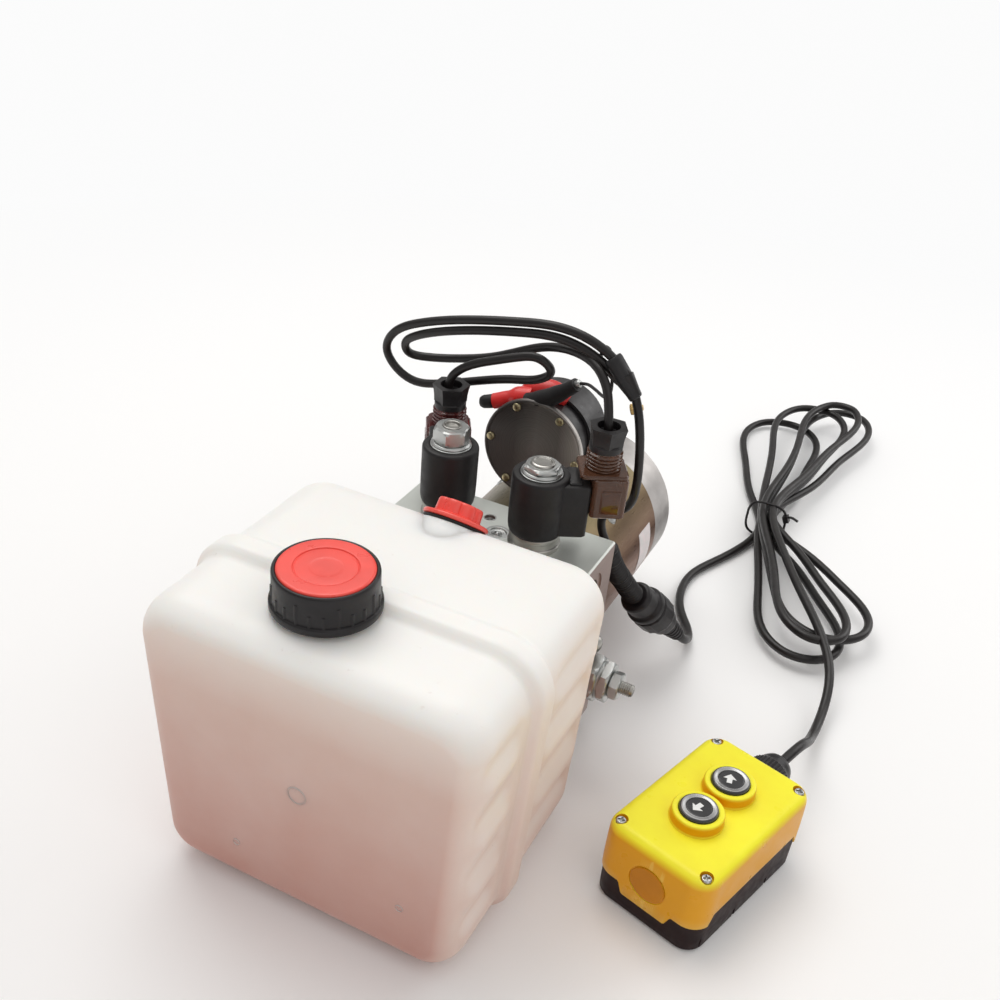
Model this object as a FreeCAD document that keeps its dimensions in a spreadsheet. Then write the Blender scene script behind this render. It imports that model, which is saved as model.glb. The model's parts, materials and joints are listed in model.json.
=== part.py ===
"""Compact 12 V hydraulic power unit: plastic reservoir, gear pump, aluminium manifold with two
solenoid valves, direct current motor with its contactor, and a two-button hand control on a cable.

Frame: millimetres, +Z up. The written parts have their origin at the middle of the manifold's
mounting face. +Y runs along the shaft towards the motor's end cap, the reservoir is on the -Y
side, and +X is the side with the relief valve and the hand control. Places in the document are
measured from the floor, the shaft's line and the plane where the motor meets the manifold.
"""

import FreeCAD
import Part

import math
import os
import re

from FreeCAD import Placement, Rotation, Vector

SIZES = {
    # reservoir: a blow-moulded box that stands on its raised middle band
    "tank_width": 192, "tank_low": 5, "tank_top": 174, "tank_front": -227, "tank_rear": -75,
    "tank_x": 3, "tank_wall": 3, "tank_taper": 7, "tank_top_round": 24, "tank_low_round": 20,
    "front_round": 10, "rear_round": 16, "band_front": -189, "band_rear": -157, "band_raise": 5,
    "band_slope": 6, "neck_x": 7, "neck_z": 75, "neck_bore": 43, "neck_wall": 4,
    "flange_side": 122, "flange_thick": 6, "tank_screw_offset": 52, "tank_screw_r": 3,
    # filler neck and cap, breather plug
    "filler_x": -7, "filler_y": -185, "filler_neck_r": 21, "filler_bore": 17, "cap_skirt_r": 26,
    "cap_low": 179.4, "cap_top": 197, "cap_wall": 2, "cap_disc_r": 22, "gasket_thick": 1.5,
    "breather_x": 4, "breather_y": -78, "breather_z": 167, "breather_tilt": 40,
    "breather_seat_r": 19, "breather_bore": 8, "breather_crown": 13.5, "breather_flange": 18.5,
    # manifold block and its threaded holes
    "block_left": -57, "block_right": 71, "block_front": -62, "block_low": 11, "block_top": 139,
    "block_edge": 1, "shaft_z": 62.5, "shaft_bore": 9, "port_r": 7.65, "port_depth": 14,
    "port_y": -28, "port_z": 119, "spot_r": 12, "spot_depth": 1, "mount_hole_r": 3.4,
    "mount_pitch": 80, "mount_depth": 14, "plug_large": 5.3, "plug_small": 3.2, "plug_depth": 6,
    # solenoid valves with their coils and plugs
    "valve_y": -28, "raise_x": -26, "lower_x": 31, "raise_yaw": 120, "lower_yaw": 30,
    "cavity_r": 9.5, "valve_depth": 34, "coil_low": 148, "coil_top": 185, "coil_r": 16.3,
    "stem_r": 7, "stem_top": 190, "plunger_r": 4.9, "plunger_gap": 0.1, "plunger_low": 113,
    "plunger_high": 160, "lug_width": 23, "plug_near": 27, "plug_size": 27, "plug_deep": 19.5,
    "plug_axis": 33,
    "neck_r": 9.6, "neck_top": 197, "gland_top": 210, "gland_bore": 3.4,
    # relief valve and lowering-speed screw in the block's right side
    "relief_y": -31, "relief_z": 63, "relief_cavity": 10, "relief_depth": 30, "flow_z": 87,
    "flow_r": 4,
    # motor
    "motor_r": 57, "motor_wall": 5, "plate_thick": 12, "yoke_end": 137, "motor_end": 171.5,
    "spindle_r": 6, "core_r": 36, "core_near": 35, "core_far": 115, "bearing_r": 16,
    "bearing_width": 10, "running_gap": 0.05, "magnet_thick": 14, "pole_y": 82,
    "motor_bolt_x": 45, "motor_bolt_r": 3,
    # gear pump
    "pump_near": -98, "pump_cover_end": -112, "gear_centre": 18, "gear_tip": 10.5,
    "gear_root": 6.8, "gear_width": 20, "gear_shaft": 5, "pump_r": 27, "pump_bolt": 15.2,
    "pump_bolt_r": 3, "suction_x": -13, "suction_r": 5,
    # motor contactor
    "can_x": -4, "can_y": 40, "can_z": 156.7, "can_r": 28.5, "can_length": 52, "disc_r": 33,
    "disc_thick": 3,
    # hand control on the floor beside the unit
    "box_x": 174, "box_y": -85, "box_turn": -15.9, "box_width": 68, "box_length": 106,
    "box_lid": 54, "box_parting": 20, "box_wall": 2.5, "box_round": 9, "screw_pitch_x": 54,
    "screw_pitch_y": 90, "button_pitch": 30.5, "button_r": 10.6, "button_top": 62.5,
    "collar_r": 14.5, "collar_top": 59.5,
    # cables
    "lead_r": 2.5, "control_cable_r": 3.1, "hank_x": 106, "hank_y": 286,
    "hank_pitch": 7,
}

doc = FreeCAD.newDocument("hydraulic_power_unit")
sheet = doc.addObject("Spreadsheet::Sheet", "Sizes")


def fill_sheet():
    """One row per driving dimension: its name, its value and an alias of the same name."""
    for row, (name, value) in enumerate(SIZES.items(), start=1):
        sheet.set(f"A{row}", name.replace("_", " "))
        sheet.set(f"B{row}", str(value))
        sheet.setAlias(f"B{row}", name)
    doc.recompute()


def linked(expression):
    """The expression with every driving dimension written as a reference to its sheet cell."""
    return re.sub(r"\b[a-z]+(?:_[a-z]+)+\b", lambda found: "Sizes." + found.group(0), str(expression))


def size(expression):
    """The present value of an expression of driving dimensions."""
    value = sheet.evalExpression(linked(expression))
    return float(getattr(value, "Value", value))


def bind(item, prop, expression):
    item.setExpression(prop, linked(expression))


DIRECTIONS = {
    "+z": Rotation(),
    "-z": Rotation(Vector(1, 0, 0), 180),
    "+y": Rotation(Vector(1, 0, 0), -90),
    "-y": Rotation(Vector(1, 0, 0), 90),
    "+x": Rotation(Vector(0, 1, 0), 90),
    "-x": Rotation(Vector(0, 1, 0), -90),
}


def place(item, at=(0, 0, 0), along="+z"):
    """Turns an object's own +Z along a row direction and puts its origin at three expressions."""
    rotation = DIRECTIONS[along] if isinstance(along, str) else along
    item.Placement = Placement(Vector(*[size(value) for value in at]), rotation)
    for name, value in zip("xyz", at):
        bind(item, f"Placement.Base.{name}", value)
    return item


def outline(sketch, points):
    """A closed outline with each corner's two coordinates bound to expressions."""
    corners = [Vector(size(a), size(b), 0) for a, b in points]
    for start, end in zip(corners, corners[1:] + corners[:1]):
        sketch.addGeometry(Part.LineSegment(start, end), False)
    count = len(points)
    for index in range(count):
        sketch.addConstraint(sketcher("Coincident", index, 2, (index + 1) % count, 1))
    for index, pair in enumerate(points):
        for kind, axis, value in (("DistanceX", -2, pair[0]), ("DistanceY", -1, pair[1])):
            if str(value) == "0":
                sketch.addConstraint(sketcher("PointOnObject", index, 1, axis))
                continue
            number = sketch.addConstraint(sketcher(kind, -1, 1, index, 1, size(value)))
            sketch.setExpression(f"Constraints[{number}]", linked(value))


def sketcher(*arguments):
    import Sketcher
    return Sketcher.Constraint(*arguments)


def sketch_on(body, role, name):
    sketch = body.newObject("Sketcher::SketchObject", name)
    plane = [item for item in body.Origin.OriginFeatures if item.Role == role][0]
    sketch.AttachmentSupport = (plane, [""])
    sketch.MapMode = "FlatFace"
    return sketch


def turned(label, profile, at=(0, 0, 0), along="+z"):
    """A body revolved from half a section: corners are (radius, height) along its own +Z."""
    body = doc.addObject("PartDesign::Body", label)
    sketch = sketch_on(body, "XZ_Plane", label + "_section")
    outline(sketch, profile)
    revolution = body.newObject("PartDesign::Revolution", label + "_turning")
    revolution.Profile = sketch
    revolution.ReferenceAxis = (sketch, ["V_Axis"])
    revolution.Angle = 360
    sketch.Visibility = False
    return place(body, at, along)


def tube(label, outer, inner, low, high, at=(0, 0, 0), along="+z"):
    """A plain ring or sleeve between two heights."""
    return turned(label, [(inner, low), (outer, low), (outer, high), (inner, high)], at, along)


def cylinder(label, radius, length, at=(0, 0, 0), along="+z"):
    item = doc.addObject("Part::Cylinder", label)
    bind(item, "Radius", radius)
    bind(item, "Height", length)
    return place(item, at, along)


def block(label, sizes, at, along="+z"):
    item = doc.addObject("Part::Box", label)
    for prop, value in zip(("Length", "Width", "Height"), sizes):
        bind(item, prop, value)
    return place(item, at, along)


def hexagon(label, across_flats, height, at=(0, 0, 0), along="+z"):
    item = doc.addObject("Part::Prism", label)
    item.Polygon = 6
    bind(item, "Circumradius", f"({across_flats}) / 2 / cos(30)")
    bind(item, "Height", height)
    return place(item, at, along)


def fused(label, *items):
    item = doc.addObject("Part::MultiFuse", label)
    item.Shapes = list(items)
    return item


def cut(label, base, *tools):
    item = doc.addObject("Part::Cut", label)
    item.Base = base
    item.Tool = tools[0] if len(tools) == 1 else fused(label + "_tools", *tools)
    return item


def group(label, items):
    """Separate solids that share one node, such as a set of identical screws."""
    item = doc.addObject("Part::Compound", label)
    item.Links = list(items)
    return item


def rounded(label, base, radius, wanted):
    """A fillet of one radius on the edges that a test picks out."""
    doc.recompute()
    item = doc.addObject("Part::Fillet", label)
    item.Base = base
    numbers = [i for i, edge in enumerate(base.Shape.Edges, start=1) if wanted(edge)]
    item.Edges = [(number, size(radius), size(radius)) for number in numbers]
    return item


def upright(edge):
    """True for a straight edge along Z."""
    ends = [vertex.Point for vertex in edge.Vertexes]
    return len(ends) == 2 and abs(
        ends[0].z - ends[1].z
    ) > 1 and (ends[0] - ends[1]).cross(Vector(0, 0, 1)).Length < 0.01


def shape_node(label, shape):
    """A node whose shape Part's own functions make from the sheet's values."""
    item = doc.addObject("Part::Feature", label)
    item.Shape = shape
    return item


# ---------------------------------------------------------------- reservoir

def tank_section(y, grow):
    """The reservoir's outline across the shaft at y: wider at the top, rounded corners."""
    left, right = size("tank_x - tank_width / 2") - grow, size("tank_x + tank_width / 2") + grow
    low, top, taper = size("tank_low") - grow, size("tank_top") + grow, size("tank_taper")
    corners = [
        (Vector(left, y, top), size("tank_top_round")), (Vector(right, y, top), size("tank_top_round")),
        (Vector(right - taper, y, low), size("tank_low_round")),
        (Vector(left + taper, y, low), size("tank_low_round")),
    ]
    return rounded_wire([(corner, radius + grow) for corner, radius in corners])


def rounded_wire(corners):
    """A closed outline of straight sides with an arc of a given radius at each corner."""
    count, arcs = len(corners), []
    for index, (corner, radius) in enumerate(corners):
        back = (corners[index - 1][0] - corner).normalize()
        ahead = (corners[(index + 1) % count][0] - corner).normalize()
        half = back.getAngle(ahead) / 2
        reach = radius / math.tan(half)
        middle = (back + ahead).normalize() * (radius / math.sin(half) - radius)
        arcs.append(Part.Arc(corner + back * reach, corner + middle, corner + ahead * reach))
    edges = []
    for index, arc in enumerate(arcs):
        edges.append(arc.toShape())
        edges.append(Part.makeLine(arc.EndPoint, arcs[(index + 1) % count].StartPoint))
    return Part.Wire(edges)


def tank_stations(skin):
    """(y, outward growth) pairs from front to rear, for a surface that lies skin inside the wall."""
    front, rear = size("tank_front") + skin, size("tank_rear") - skin
    near, far, raised = size("front_round") - skin, size("rear_round") - skin, size("band_raise")
    angles = [math.radians(degrees) for degrees in (10, 35, 62, 90)]
    rows = [(front + near * (1 - math.cos(a)), -near * (1 - math.sin(a))) for a in angles]
    rows += [(size("band_front"), 0), (size("band_front + band_slope"), raised)]
    rows += [(size("band_rear - band_slope"), raised), (size("band_rear"), 0)]
    rows += [(rear - far * (1 - math.cos(a)), -far * (1 - math.sin(a))) for a in reversed(angles)]
    return [(y, grow - skin) for y, grow in rows]


def tank_solid(skin):
    wires = [tank_section(y, grow) for y, grow in tank_stations(skin)]
    return Part.makeLoft(wires, True, True)


def square_prism(side, thick, y, x, z):
    half = side / 2
    return Part.makeBox(side, thick, side, Vector(x - half, y, z - half))


def tilted(radius, low, high):
    """A cylinder about the breather's axis between two heights above its seat."""
    lean = math.radians(size("breather_tilt"))
    axis = Vector(0, math.sin(lean), math.cos(lean))
    seat = Vector(size("breather_x"), size("breather_y"), size("breather_z"))
    return Part.makeCylinder(radius, high - low, seat + axis * low, axis)


def build_tank():
    """The hollow reservoir with its filler neck, breather boss and rear flange."""
    face, rear = size("block_front"), size("tank_rear")
    neck_x, neck_z = size("neck_x"), size("neck_z")
    filler = Vector(size("filler_x"), size("filler_y"), size("tank_top - 1"))
    neck = Vector(neck_x, rear - 6, neck_z)
    back = Vector(0, 1, 0)
    outer = tank_solid(0).fuse([
        Part.makeCylinder(size("neck_bore + neck_wall"), face - neck.y, neck, back),
        square_prism(
            size("flange_side"), size("flange_thick"), face - size("flange_thick"), neck_x, neck_z
        ),
        Part.makeCylinder(size("cap_skirt_r + 1"), size("cap_low - tank_top + 0.6"), filler),
        Part.makeCylinder(
            size("filler_neck_r"), size("cap_top - cap_wall - gasket_thick - 0.1") - filler.z, filler
        ),
        tilted(size("breather_seat_r"), -7, 0),
    ])
    openings = [
        tank_solid(size("tank_wall")),
        Part.makeCylinder(size("neck_bore"), 40, Vector(neck_x, rear - 10, neck_z), back),
        Part.makeCylinder(size("filler_bore"), 60, filler - Vector(0, 0, 12)),
        tilted(size("breather_bore"), -15, 5),
        tilted(size("breather_flange + 0.3"), 0, 12),
    ]
    offset, screw_r = size("tank_screw_offset"), size("tank_screw_r")
    for x in (-offset, offset):
        for z in (-offset, offset):
            start = Vector(neck_x + x, face - size("flange_thick") - 1, neck_z + z)
            openings.append(Part.makeCylinder(screw_r, 10, start, back))
    return shape_node("tank_shell", outer.cut(openings))


def corner_screws(label, radius, head_r, head, length, centres, y):
    """Cap screws along +Y, one at each centre, with their heads on the -Y side of y."""
    screws = []
    for index, (x, z) in enumerate(centres):
        screw = turned(
            f"{label}_{index}",
            [
                ("0", f"-({head})"), (head_r, f"-({head})"), (head_r, "0"), (radius, "0"), (radius, length),
                ("0", length)
            ],
            (x, y, z), "+y",
        )
        screws.append(screw)
    return group(label, screws)


def tank_screw_centres():
    return [(f"neck_x {a} tank_screw_offset", f"neck_z {b} tank_screw_offset") for a in "+-" for b in "+-"]


def pump_bolt_centres():
    heights = ("shaft_z - pump_bolt", "shaft_z + gear_centre + pump_bolt")
    return [(x, z) for x in ("0 - pump_bolt", "pump_bolt") for z in heights]


def motor_bolt_centres():
    return [("0 - motor_bolt_x", "shaft_z"), ("motor_bolt_x", "shaft_z")]


def build_tank_screws():
    return corner_screws("tank_screws", "tank_screw_r", "5", "4", "flange_thick + 10",
                         tank_screw_centres(), "block_front - flange_thick")


def build_caps():
    """The ribbed filler cap, its coloured disc and gasket, and the breather plug."""
    cap_at = ("filler_x", "filler_y", "cap_low")
    tall, skirt_bore = "cap_top - cap_low", "filler_neck_r + 0.3"
    cap = turned("filler_cap", [
        (skirt_bore, "0"), ("cap_skirt_r", "0"), ("cap_skirt_r - 0.4", "3"),
        ("cap_skirt_r - 2", f"{tall} - 1.5"),
        ("cap_disc_r + 0.8", tall), ("cap_disc_r", tall), ("cap_disc_r", f"{tall} - 1"),
        ("0", f"{tall} - 1"),
        ("0", f"{tall} - cap_wall"), (skirt_bore, f"{tall} - cap_wall"),
    ], cap_at)
    disc = turned("filler_cap_disc", [
        ("0", "-1"), ("cap_disc_r", "-1"), ("cap_disc_r", "0.2"), ("cap_disc_r - 5.5", "0.2"),
        ("cap_disc_r - 6", "-0.4"),
        ("0", "-0.4"),
    ], ("filler_x", "filler_y", "cap_top"))
    gasket = tube("filler_gasket", "filler_neck_r", "filler_bore", "0", "gasket_thick",
                  ("filler_x", "filler_y", "cap_top - cap_wall - gasket_thick"))
    lean = Rotation(Vector(1, 0, 0), -size("breather_tilt"))
    seat = ("breather_x", "breather_y", "breather_z")
    plug = turned("breather_plug", [
        ("0", "-9"), ("breather_bore - 0.1", "-9"), ("breather_bore - 0.1", "1.6"),
        ("breather_flange", "1.6"),
        ("breather_flange", "4.4"), ("breather_crown", "4.8"), ("breather_crown - 0.5", "12.3"),
        ("0", "12.3"),
    ], seat, lean)
    seal = tube("breather_seal", "breather_flange - 1", "breather_bore", "0", "1.6", seat, lean)
    return [cap, disc, gasket, plug, seal]


def build_suction():
    """Suction pipe from the pump's cover, bent down to the strainer near the reservoir floor."""
    x, y, z = size("suction_x"), size("pump_cover_end"), size("shaft_z + gear_centre / 2")
    route = [Vector(x, y, z), Vector(x, y - 28, z), Vector(x, y - 28, 34)]
    pipe = bent_bar(route, size("suction_r + 1"), 12).cut(bent_bar(route, size("suction_r - 0.5"), 12))
    strainer = turned("suction_strainer", [
        ("suction_r + 1", "0"), ("14", "0"), ("14", "22"), ("suction_r + 1.1", "22"),
        ("suction_r + 1.1", "20"),
        ("12.5", "20"), ("12.5", "1.5"), ("suction_r + 1", "1.5"),
    ], ("suction_x", "pump_cover_end - 28", "12"))
    return [shape_node("suction_tube", pipe), strainer]


def bent_bar(points, radius, bend):
    """A round bar along straight runs with an arc of one bend radius at each corner."""
    edges, start = [], points[0]
    for before, corner, after in zip(points, points[1:], points[2:]):
        back, ahead = (before - corner).normalize(), (after - corner).normalize()
        half = back.getAngle(ahead) / 2
        reach = bend / math.tan(half)
        middle = corner + (back + ahead).normalize() * (bend / math.sin(half) - bend)
        edges.append(Part.makeLine(start, corner + back * reach))
        edges.append(Part.Arc(corner + back * reach, middle, corner + ahead * reach).toShape())
        start = corner + ahead * reach
    edges.append(Part.makeLine(start, points[-1]))
    return swept(Part.Wire(edges), points[0], points[1] - points[0], radius)


def swept(path, start, direction, radius):
    """A solid bar of one radius along a wire."""
    end = Part.Wire(Part.makeCircle(radius, start, direction))
    return path.makePipeShell([end], True, False)


def cable(points, radius, spans=1):
    """A cable whose centre line passes smoothly through the points, swept span by span."""
    curve = Part.BSplineCurve()
    curve.interpolate(points)
    first, last = curve.FirstParameter, curve.LastParameter
    stops = [first + (last - first) * index / spans for index in range(spans + 1)]
    runs = []
    for start, end in zip(stops, stops[1:]):
        span = curve.copy()
        span.segment(start, end)
        runs.append(swept(Part.Wire(span.toShape()), curve.value(start), curve.tangent(start)[0], radius))
    return runs[0] if spans == 1 else runs[0].fuse(runs[1:])


# ---------------------------------------------------------------- gear pump

def gear_blank(label, shaft_from, shaft_to, z):
    """A spur gear in one piece with its shaft, teeth cut by a polar row of gaps."""
    teeth = 12
    module = 2 * size("gear_centre") / (2 * teeth)
    width, tip, root = size("gear_width - 0.1"), size("gear_tip"), size("gear_root")
    pitch_r = module * teeth / 2
    near = size("pump_near + 0.05")
    half_pitch = math.pi / teeth / 2
    corners = []
    for tooth in range(teeth):
        centre = 2 * math.pi * tooth / teeth
        flanks = ((root, 1.16), (pitch_r, 0.9), (tip, 0.42), (tip, -0.42), (pitch_r, -0.9), (root, -1.16))
        for radius, spread in flanks:
            angle = centre - spread * half_pitch
            corners.append(Vector(radius * math.sin(angle), near, radius * math.cos(angle)))
    teeth_solid = Part.Face(Part.makePolygon(corners + corners[:1])).extrude(Vector(0, width, 0))
    bar = Part.makeCylinder(
        size("gear_shaft"), shaft_to - shaft_from, Vector(0, shaft_from, 0), Vector(0, 1, 0)
    )
    return teeth_solid.fuse(bar).removeSplitter()


def build_pump():
    """Two meshed gears in a body closed by a cover, and the four bolts that hold them."""
    low, high = size("shaft_z"), size("shaft_z + gear_centre")
    drive = shape_node("drive_gear", gear_blank("drive_gear", size("pump_cover_end + 6"), -12, low))
    drive.Placement = Placement(Vector(0, 0, low), Rotation())
    half_tooth = Rotation(Vector(0, 1, 0), 180 / 12)
    driven = shape_node(
        "driven_gear", gear_blank("driven_gear", size("pump_cover_end + 6"), size("block_front - 6"), high)
    )
    driven.Placement = Placement(Vector(0, 0, high), half_tooth)
    centres = pump_bolt_centres()
    body = pump_slice("pump_body", "pump_near", "block_front", [
        ("gear_tip + running_gap", "pump_near", "gear_width"),
        ("gear_shaft + running_gap", "pump_near", "40"),
    ], centres)
    cover = pump_slice("pump_cover", "pump_cover_end", "pump_near", [
        ("gear_shaft + running_gap", "pump_cover_end + 5", "20"),
    ], centres, inlet=True)
    bolts = corner_screws(
        "pump_bolts", "pump_bolt_r", "5", "5", "block_front - pump_cover_end + 12", centres,
        "pump_cover_end"
    )
    return [body, cover, drive, driven, bolts]


def pump_slice(label, near, far, bores, bolt_centres, inlet=False):
    """One slab of the pump: two overlapping rounds, bored on both gear axes and for the bolts."""
    long, axes = f"{far} - ({near})", ("shaft_z", "shaft_z + gear_centre")
    rounds = [
        cylinder(f"{label}_round_{i}", "pump_r", long, ("0", near, z), "+y") for i, z in enumerate(axes)
    ]
    web = block(f"{label}_web", ("2 * pump_r", long, "gear_centre"), ("0 - pump_r", near, "shaft_z"))
    tools = []
    for index, (radius, start, depth) in enumerate(bores):
        for side, z in enumerate(axes):
            tools.append(cylinder(f"{label}_bore_{index}{side}", radius, depth, ("0", start, z), "+y"))
    for index, (x, z) in enumerate(bolt_centres):
        tools.append(
            cylinder(f"{label}_bolt_hole_{index}", "pump_bolt_r", "60", (x, f"{near} - 1", z), "+y")
        )
    if inlet:
        tools.append(
            cylinder(
                label + "_inlet", "suction_r", "40",
                ("suction_x", f"{near} - 1", "shaft_z + gear_centre / 2"), "+y"
            )
        )
    return cut(label, fused(label + "_blank", web, *rounds), *tools)


# ---------------------------------------------------------------- manifold

PLUG_SEATS = (("plug_large", "9", "0 - 30"), ("plug_small", "0 - 2", "0 - 18"))


def build_manifold():
    """The aluminium block: shaft bore, valve cavities, ports, plug seats and mounting holes."""
    wide, deep, tall = "block_right - block_left", "0 - block_front", "block_top - block_low"
    blank = block("manifold_blank", (wide, deep, tall), ("block_left", "block_front", "block_low"))
    doc.recompute()
    eased = doc.addObject("Part::Chamfer", "manifold_eased")
    eased.Base = blank
    edge = size("block_edge")
    eased.Edges = [(number, edge, edge) for number in range(1, 13)]
    tools = [cylinder("shaft_hole", "shaft_bore", "80", ("0", "block_front - 1", "shaft_z"), "+y")]
    for name in ("raise", "lower"):
        tools.append(
            cylinder(
                name + "_cavity", "cavity_r", "60", (name + "_x", "valve_y", "block_top - valve_depth")
            )
        )
    tools.append(
        cylinder(
            "relief_hole", "relief_cavity", "50", ("block_right - relief_depth", "relief_y", "relief_z"),
            "+x"
        )
    )
    tools.append(cylinder("flow_hole", "flow_r", "50", ("block_right - 20", "relief_y", "flow_z"), "+x"))
    for name, start, spot, along in (
        ("right", "block_right - port_depth", "block_right - spot_depth", "+x"),
        ("left", "block_left + port_depth", "block_left + spot_depth", "-x"),
    ):
        tools.append(cylinder(f"{name}_port", "port_r", "30", (start, "port_y", "port_z"), along))
        tools.append(cylinder(f"{name}_spotface", "spot_r", "9", (spot, "port_y", "port_z"), along))
    for index, sign in enumerate("+-"):
        x = f"neck_x {sign} mount_pitch / 2"
        tools.append(
            cylinder(
                f"mounting_hole_{index}", "mount_hole_r", "mount_depth + 5",
                (x, "relief_y", "block_low - 5")
            )
        )
    for index, (radius, x, y) in enumerate(PLUG_SEATS):
        tools.append(
            cylinder(f"plug_seat_{index}", radius, "plug_depth + 5", (x, y, "block_top - plug_depth"))
        )
    for index, (x, z) in enumerate(tank_screw_centres()):
        tools.append(
            cylinder(f"tank_screw_hole_{index}", "tank_screw_r", "30", (x, "block_front - 19", z), "+y")
        )
    for index, (x, z) in enumerate(pump_bolt_centres()):
        tools.append(
            cylinder(f"pump_bolt_seat_{index}", "pump_bolt_r", "32", (x, "block_front - 19", z), "+y")
        )
    for index, (x, z) in enumerate(motor_bolt_centres()):
        tools.append(cylinder(f"motor_bolt_seat_{index}", "motor_bolt_r", "40", (x, "-18", z), "+y"))
    return cut("manifold_block", eased, *tools)


def build_manifold_plugs():
    """Flush threaded plugs that close the two drillings in the block's top face."""
    plugs = []
    for index, (radius, x, y) in enumerate(PLUG_SEATS):
        plugs.append(turned(f"manifold_plug_{index}", [
            ("0", "0"), (radius, "0"), (radius, "plug_depth - 0.6"),
            (f"{radius} - 0.8", "plug_depth - 0.2"),
            (f"{radius} * 0.4", "plug_depth - 0.2"), (f"{radius} * 0.4", "plug_depth - 2.5"),
            ("0", "plug_depth - 2.5"),
        ], (x, y, "block_top - plug_depth")))
    return group("manifold_plugs", plugs)


# ---------------------------------------------------------------- solenoid valves

def build_valve(name, nut_height):
    """One screw-in solenoid valve: body, sliding plunger, coil, coil nut, plug and gland nut."""
    x, y = f"{name}_x", "valve_y"
    bore = "plunger_r + plunger_gap"
    body = turned(f"{name}_valve_body", [
        ("0", "block_top - valve_depth"), ("cavity_r", "block_top - valve_depth"),
        ("cavity_r", "block_top"),
        ("coil_r - 1.5", "block_top"), ("coil_r - 1.5", "coil_low"), ("stem_r", "coil_low"),
        ("stem_r", "stem_top - 1"), ("stem_r - 1", "stem_top"), ("0", "stem_top"),
        ("0", "plunger_high + 4"),
        (bore, "plunger_high + 4"), (bore, "plunger_low - 0.5"), ("2", "plunger_low - 3"),
        ("0", "plunger_low - 3"),
    ], (x, y, "0"))
    plunger = turned(f"{name}_valve_plunger", [
        ("0", "plunger_low - 2"), ("1.5", "plunger_low - 2"), ("plunger_r - 0.6", "plunger_low + 0.6"),
        ("plunger_r", "plunger_low + 2"),
        ("plunger_r", "plunger_high"), ("0", "plunger_high"),
    ], (x, y, "0"))
    turn = Rotation(Vector(0, 0, 1), size(f"{name}_yaw"))
    coil_blank = fused(
        f"{name}_coil_blank",
        cylinder(f"{name}_coil_round", "coil_r", "coil_top - coil_low"),
        block(
            f"{name}_coil_lug", ("plug_near", "lug_width", "coil_top - coil_low - 7"),
            ("0", "0 - lug_width / 2", "4")
        ),
    )
    coil = cut(
        f"{name}_coil", coil_blank, cylinder(f"{name}_coil_hole", "stem_r + 0.1", "60", ("0", "0", "0 - 5"))
    )
    place(coil, (x, y, "coil_low"), turn)
    nut = cut(
        f"{name}_coil_nut",
        fused(
            f"{name}_nut_blank", cylinder(f"{name}_nut_flange", "11.5", "1.5"),
            hexagon(f"{name}_nut_hex", "19", nut_height)
        ),
        cylinder(f"{name}_nut_hole", "stem_r", "5"),
    )
    place(nut, (x, y, "coil_top"))
    plug = cut(
        f"{name}_plug",
        fused(
            f"{name}_plug_blank",
            block(
                f"{name}_plug_case", ("plug_deep", "plug_size", "plug_size - 1"),
                ("plug_near + 0.1", "0 - plug_size / 2", "0")
            ),
            cylinder(
                f"{name}_plug_neck", "neck_r", "neck_top - coil_top + 2",
                ("plug_axis", "0", "plug_size - 1")
            ),
        ),
        cylinder(f"{name}_plug_bore", "gland_bore", "60", ("plug_axis", "0", "12")),
    )
    place(plug, (x, y, "coil_top - plug_size - 1"), turn)
    reach, yaw = "plug_axis", size(f"{name}_yaw")
    sideways = (f"{x} + {reach} * cos({name}_yaw)", f"{y} + {reach} * sin({name}_yaw)", "neck_top")
    gland = cut(f"{name}_gland", hexagon(f"{name}_gland_hex", "21", "gland_top - neck_top"),
                cylinder(f"{name}_gland_hole", "gland_bore + 1.4", "30", ("0", "0", "0 - 5")))
    return place(gland, sideways, Rotation(Vector(0, 0, 1), yaw))


# ---------------------------------------------------------------- relief valve and flow screw

def build_relief():
    """Relief valve in the right side: body, poppet, spring, adjusting screw and lock nut."""
    at = ("block_right", "relief_y", "relief_z")
    body = cut(
        "relief_body",
        fused(
            "relief_blank",
            cylinder(
                "relief_thread", "relief_cavity", "relief_depth - 2",
                ("block_right - relief_depth + 2", *at[1:]), "+x"
            ),
            hexagon("relief_hex", "27", "15", at, "+x"),
            hexagon("relief_collar", "24", "21", at, "+x"),
        ),
        cylinder("relief_bore", "6", "42", ("block_right - relief_depth + 7", *at[1:]), "+x"),
        cylinder("relief_seat", "2.5", "12", ("block_right - relief_depth", *at[1:]), "+x"),
        cylinder("relief_stem_hole", "4", "20", ("block_right + 12", *at[1:]), "+x"),
    )
    poppet = turned("relief_poppet", [
        ("0", "0"), ("2.3", "1"), ("5.94", "4.5"), ("5.94", "14"), ("4.6", "14"), ("4.6", "8"), ("0", "8"),
    ], ("block_right - relief_depth + 7.2", *at[1:]), "+x")
    adjuster = turned("relief_adjuster", [
        ("0", "4"), ("5.94", "4"), ("5.94", "12"), ("3.94", "13"), ("3.94", "38"), ("3.2", "39"),
        ("0", "39"),
    ], at, "+x")
    nut = cut("relief_lock_nut", hexagon("relief_nut_hex", "16", "6.5", ("block_right + 21", *at[1:]), "+x"),
              cylinder("relief_nut_hole", "4", "20", ("block_right + 15", *at[1:]), "+x"))
    spring = coil_spring(
        "relief_spring", size("block_right - relief_depth + 17.5"), size("block_right + 3.8"), 3.6, 0.6, 5
    )
    return [body, poppet, spring, adjuster, nut]


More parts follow.
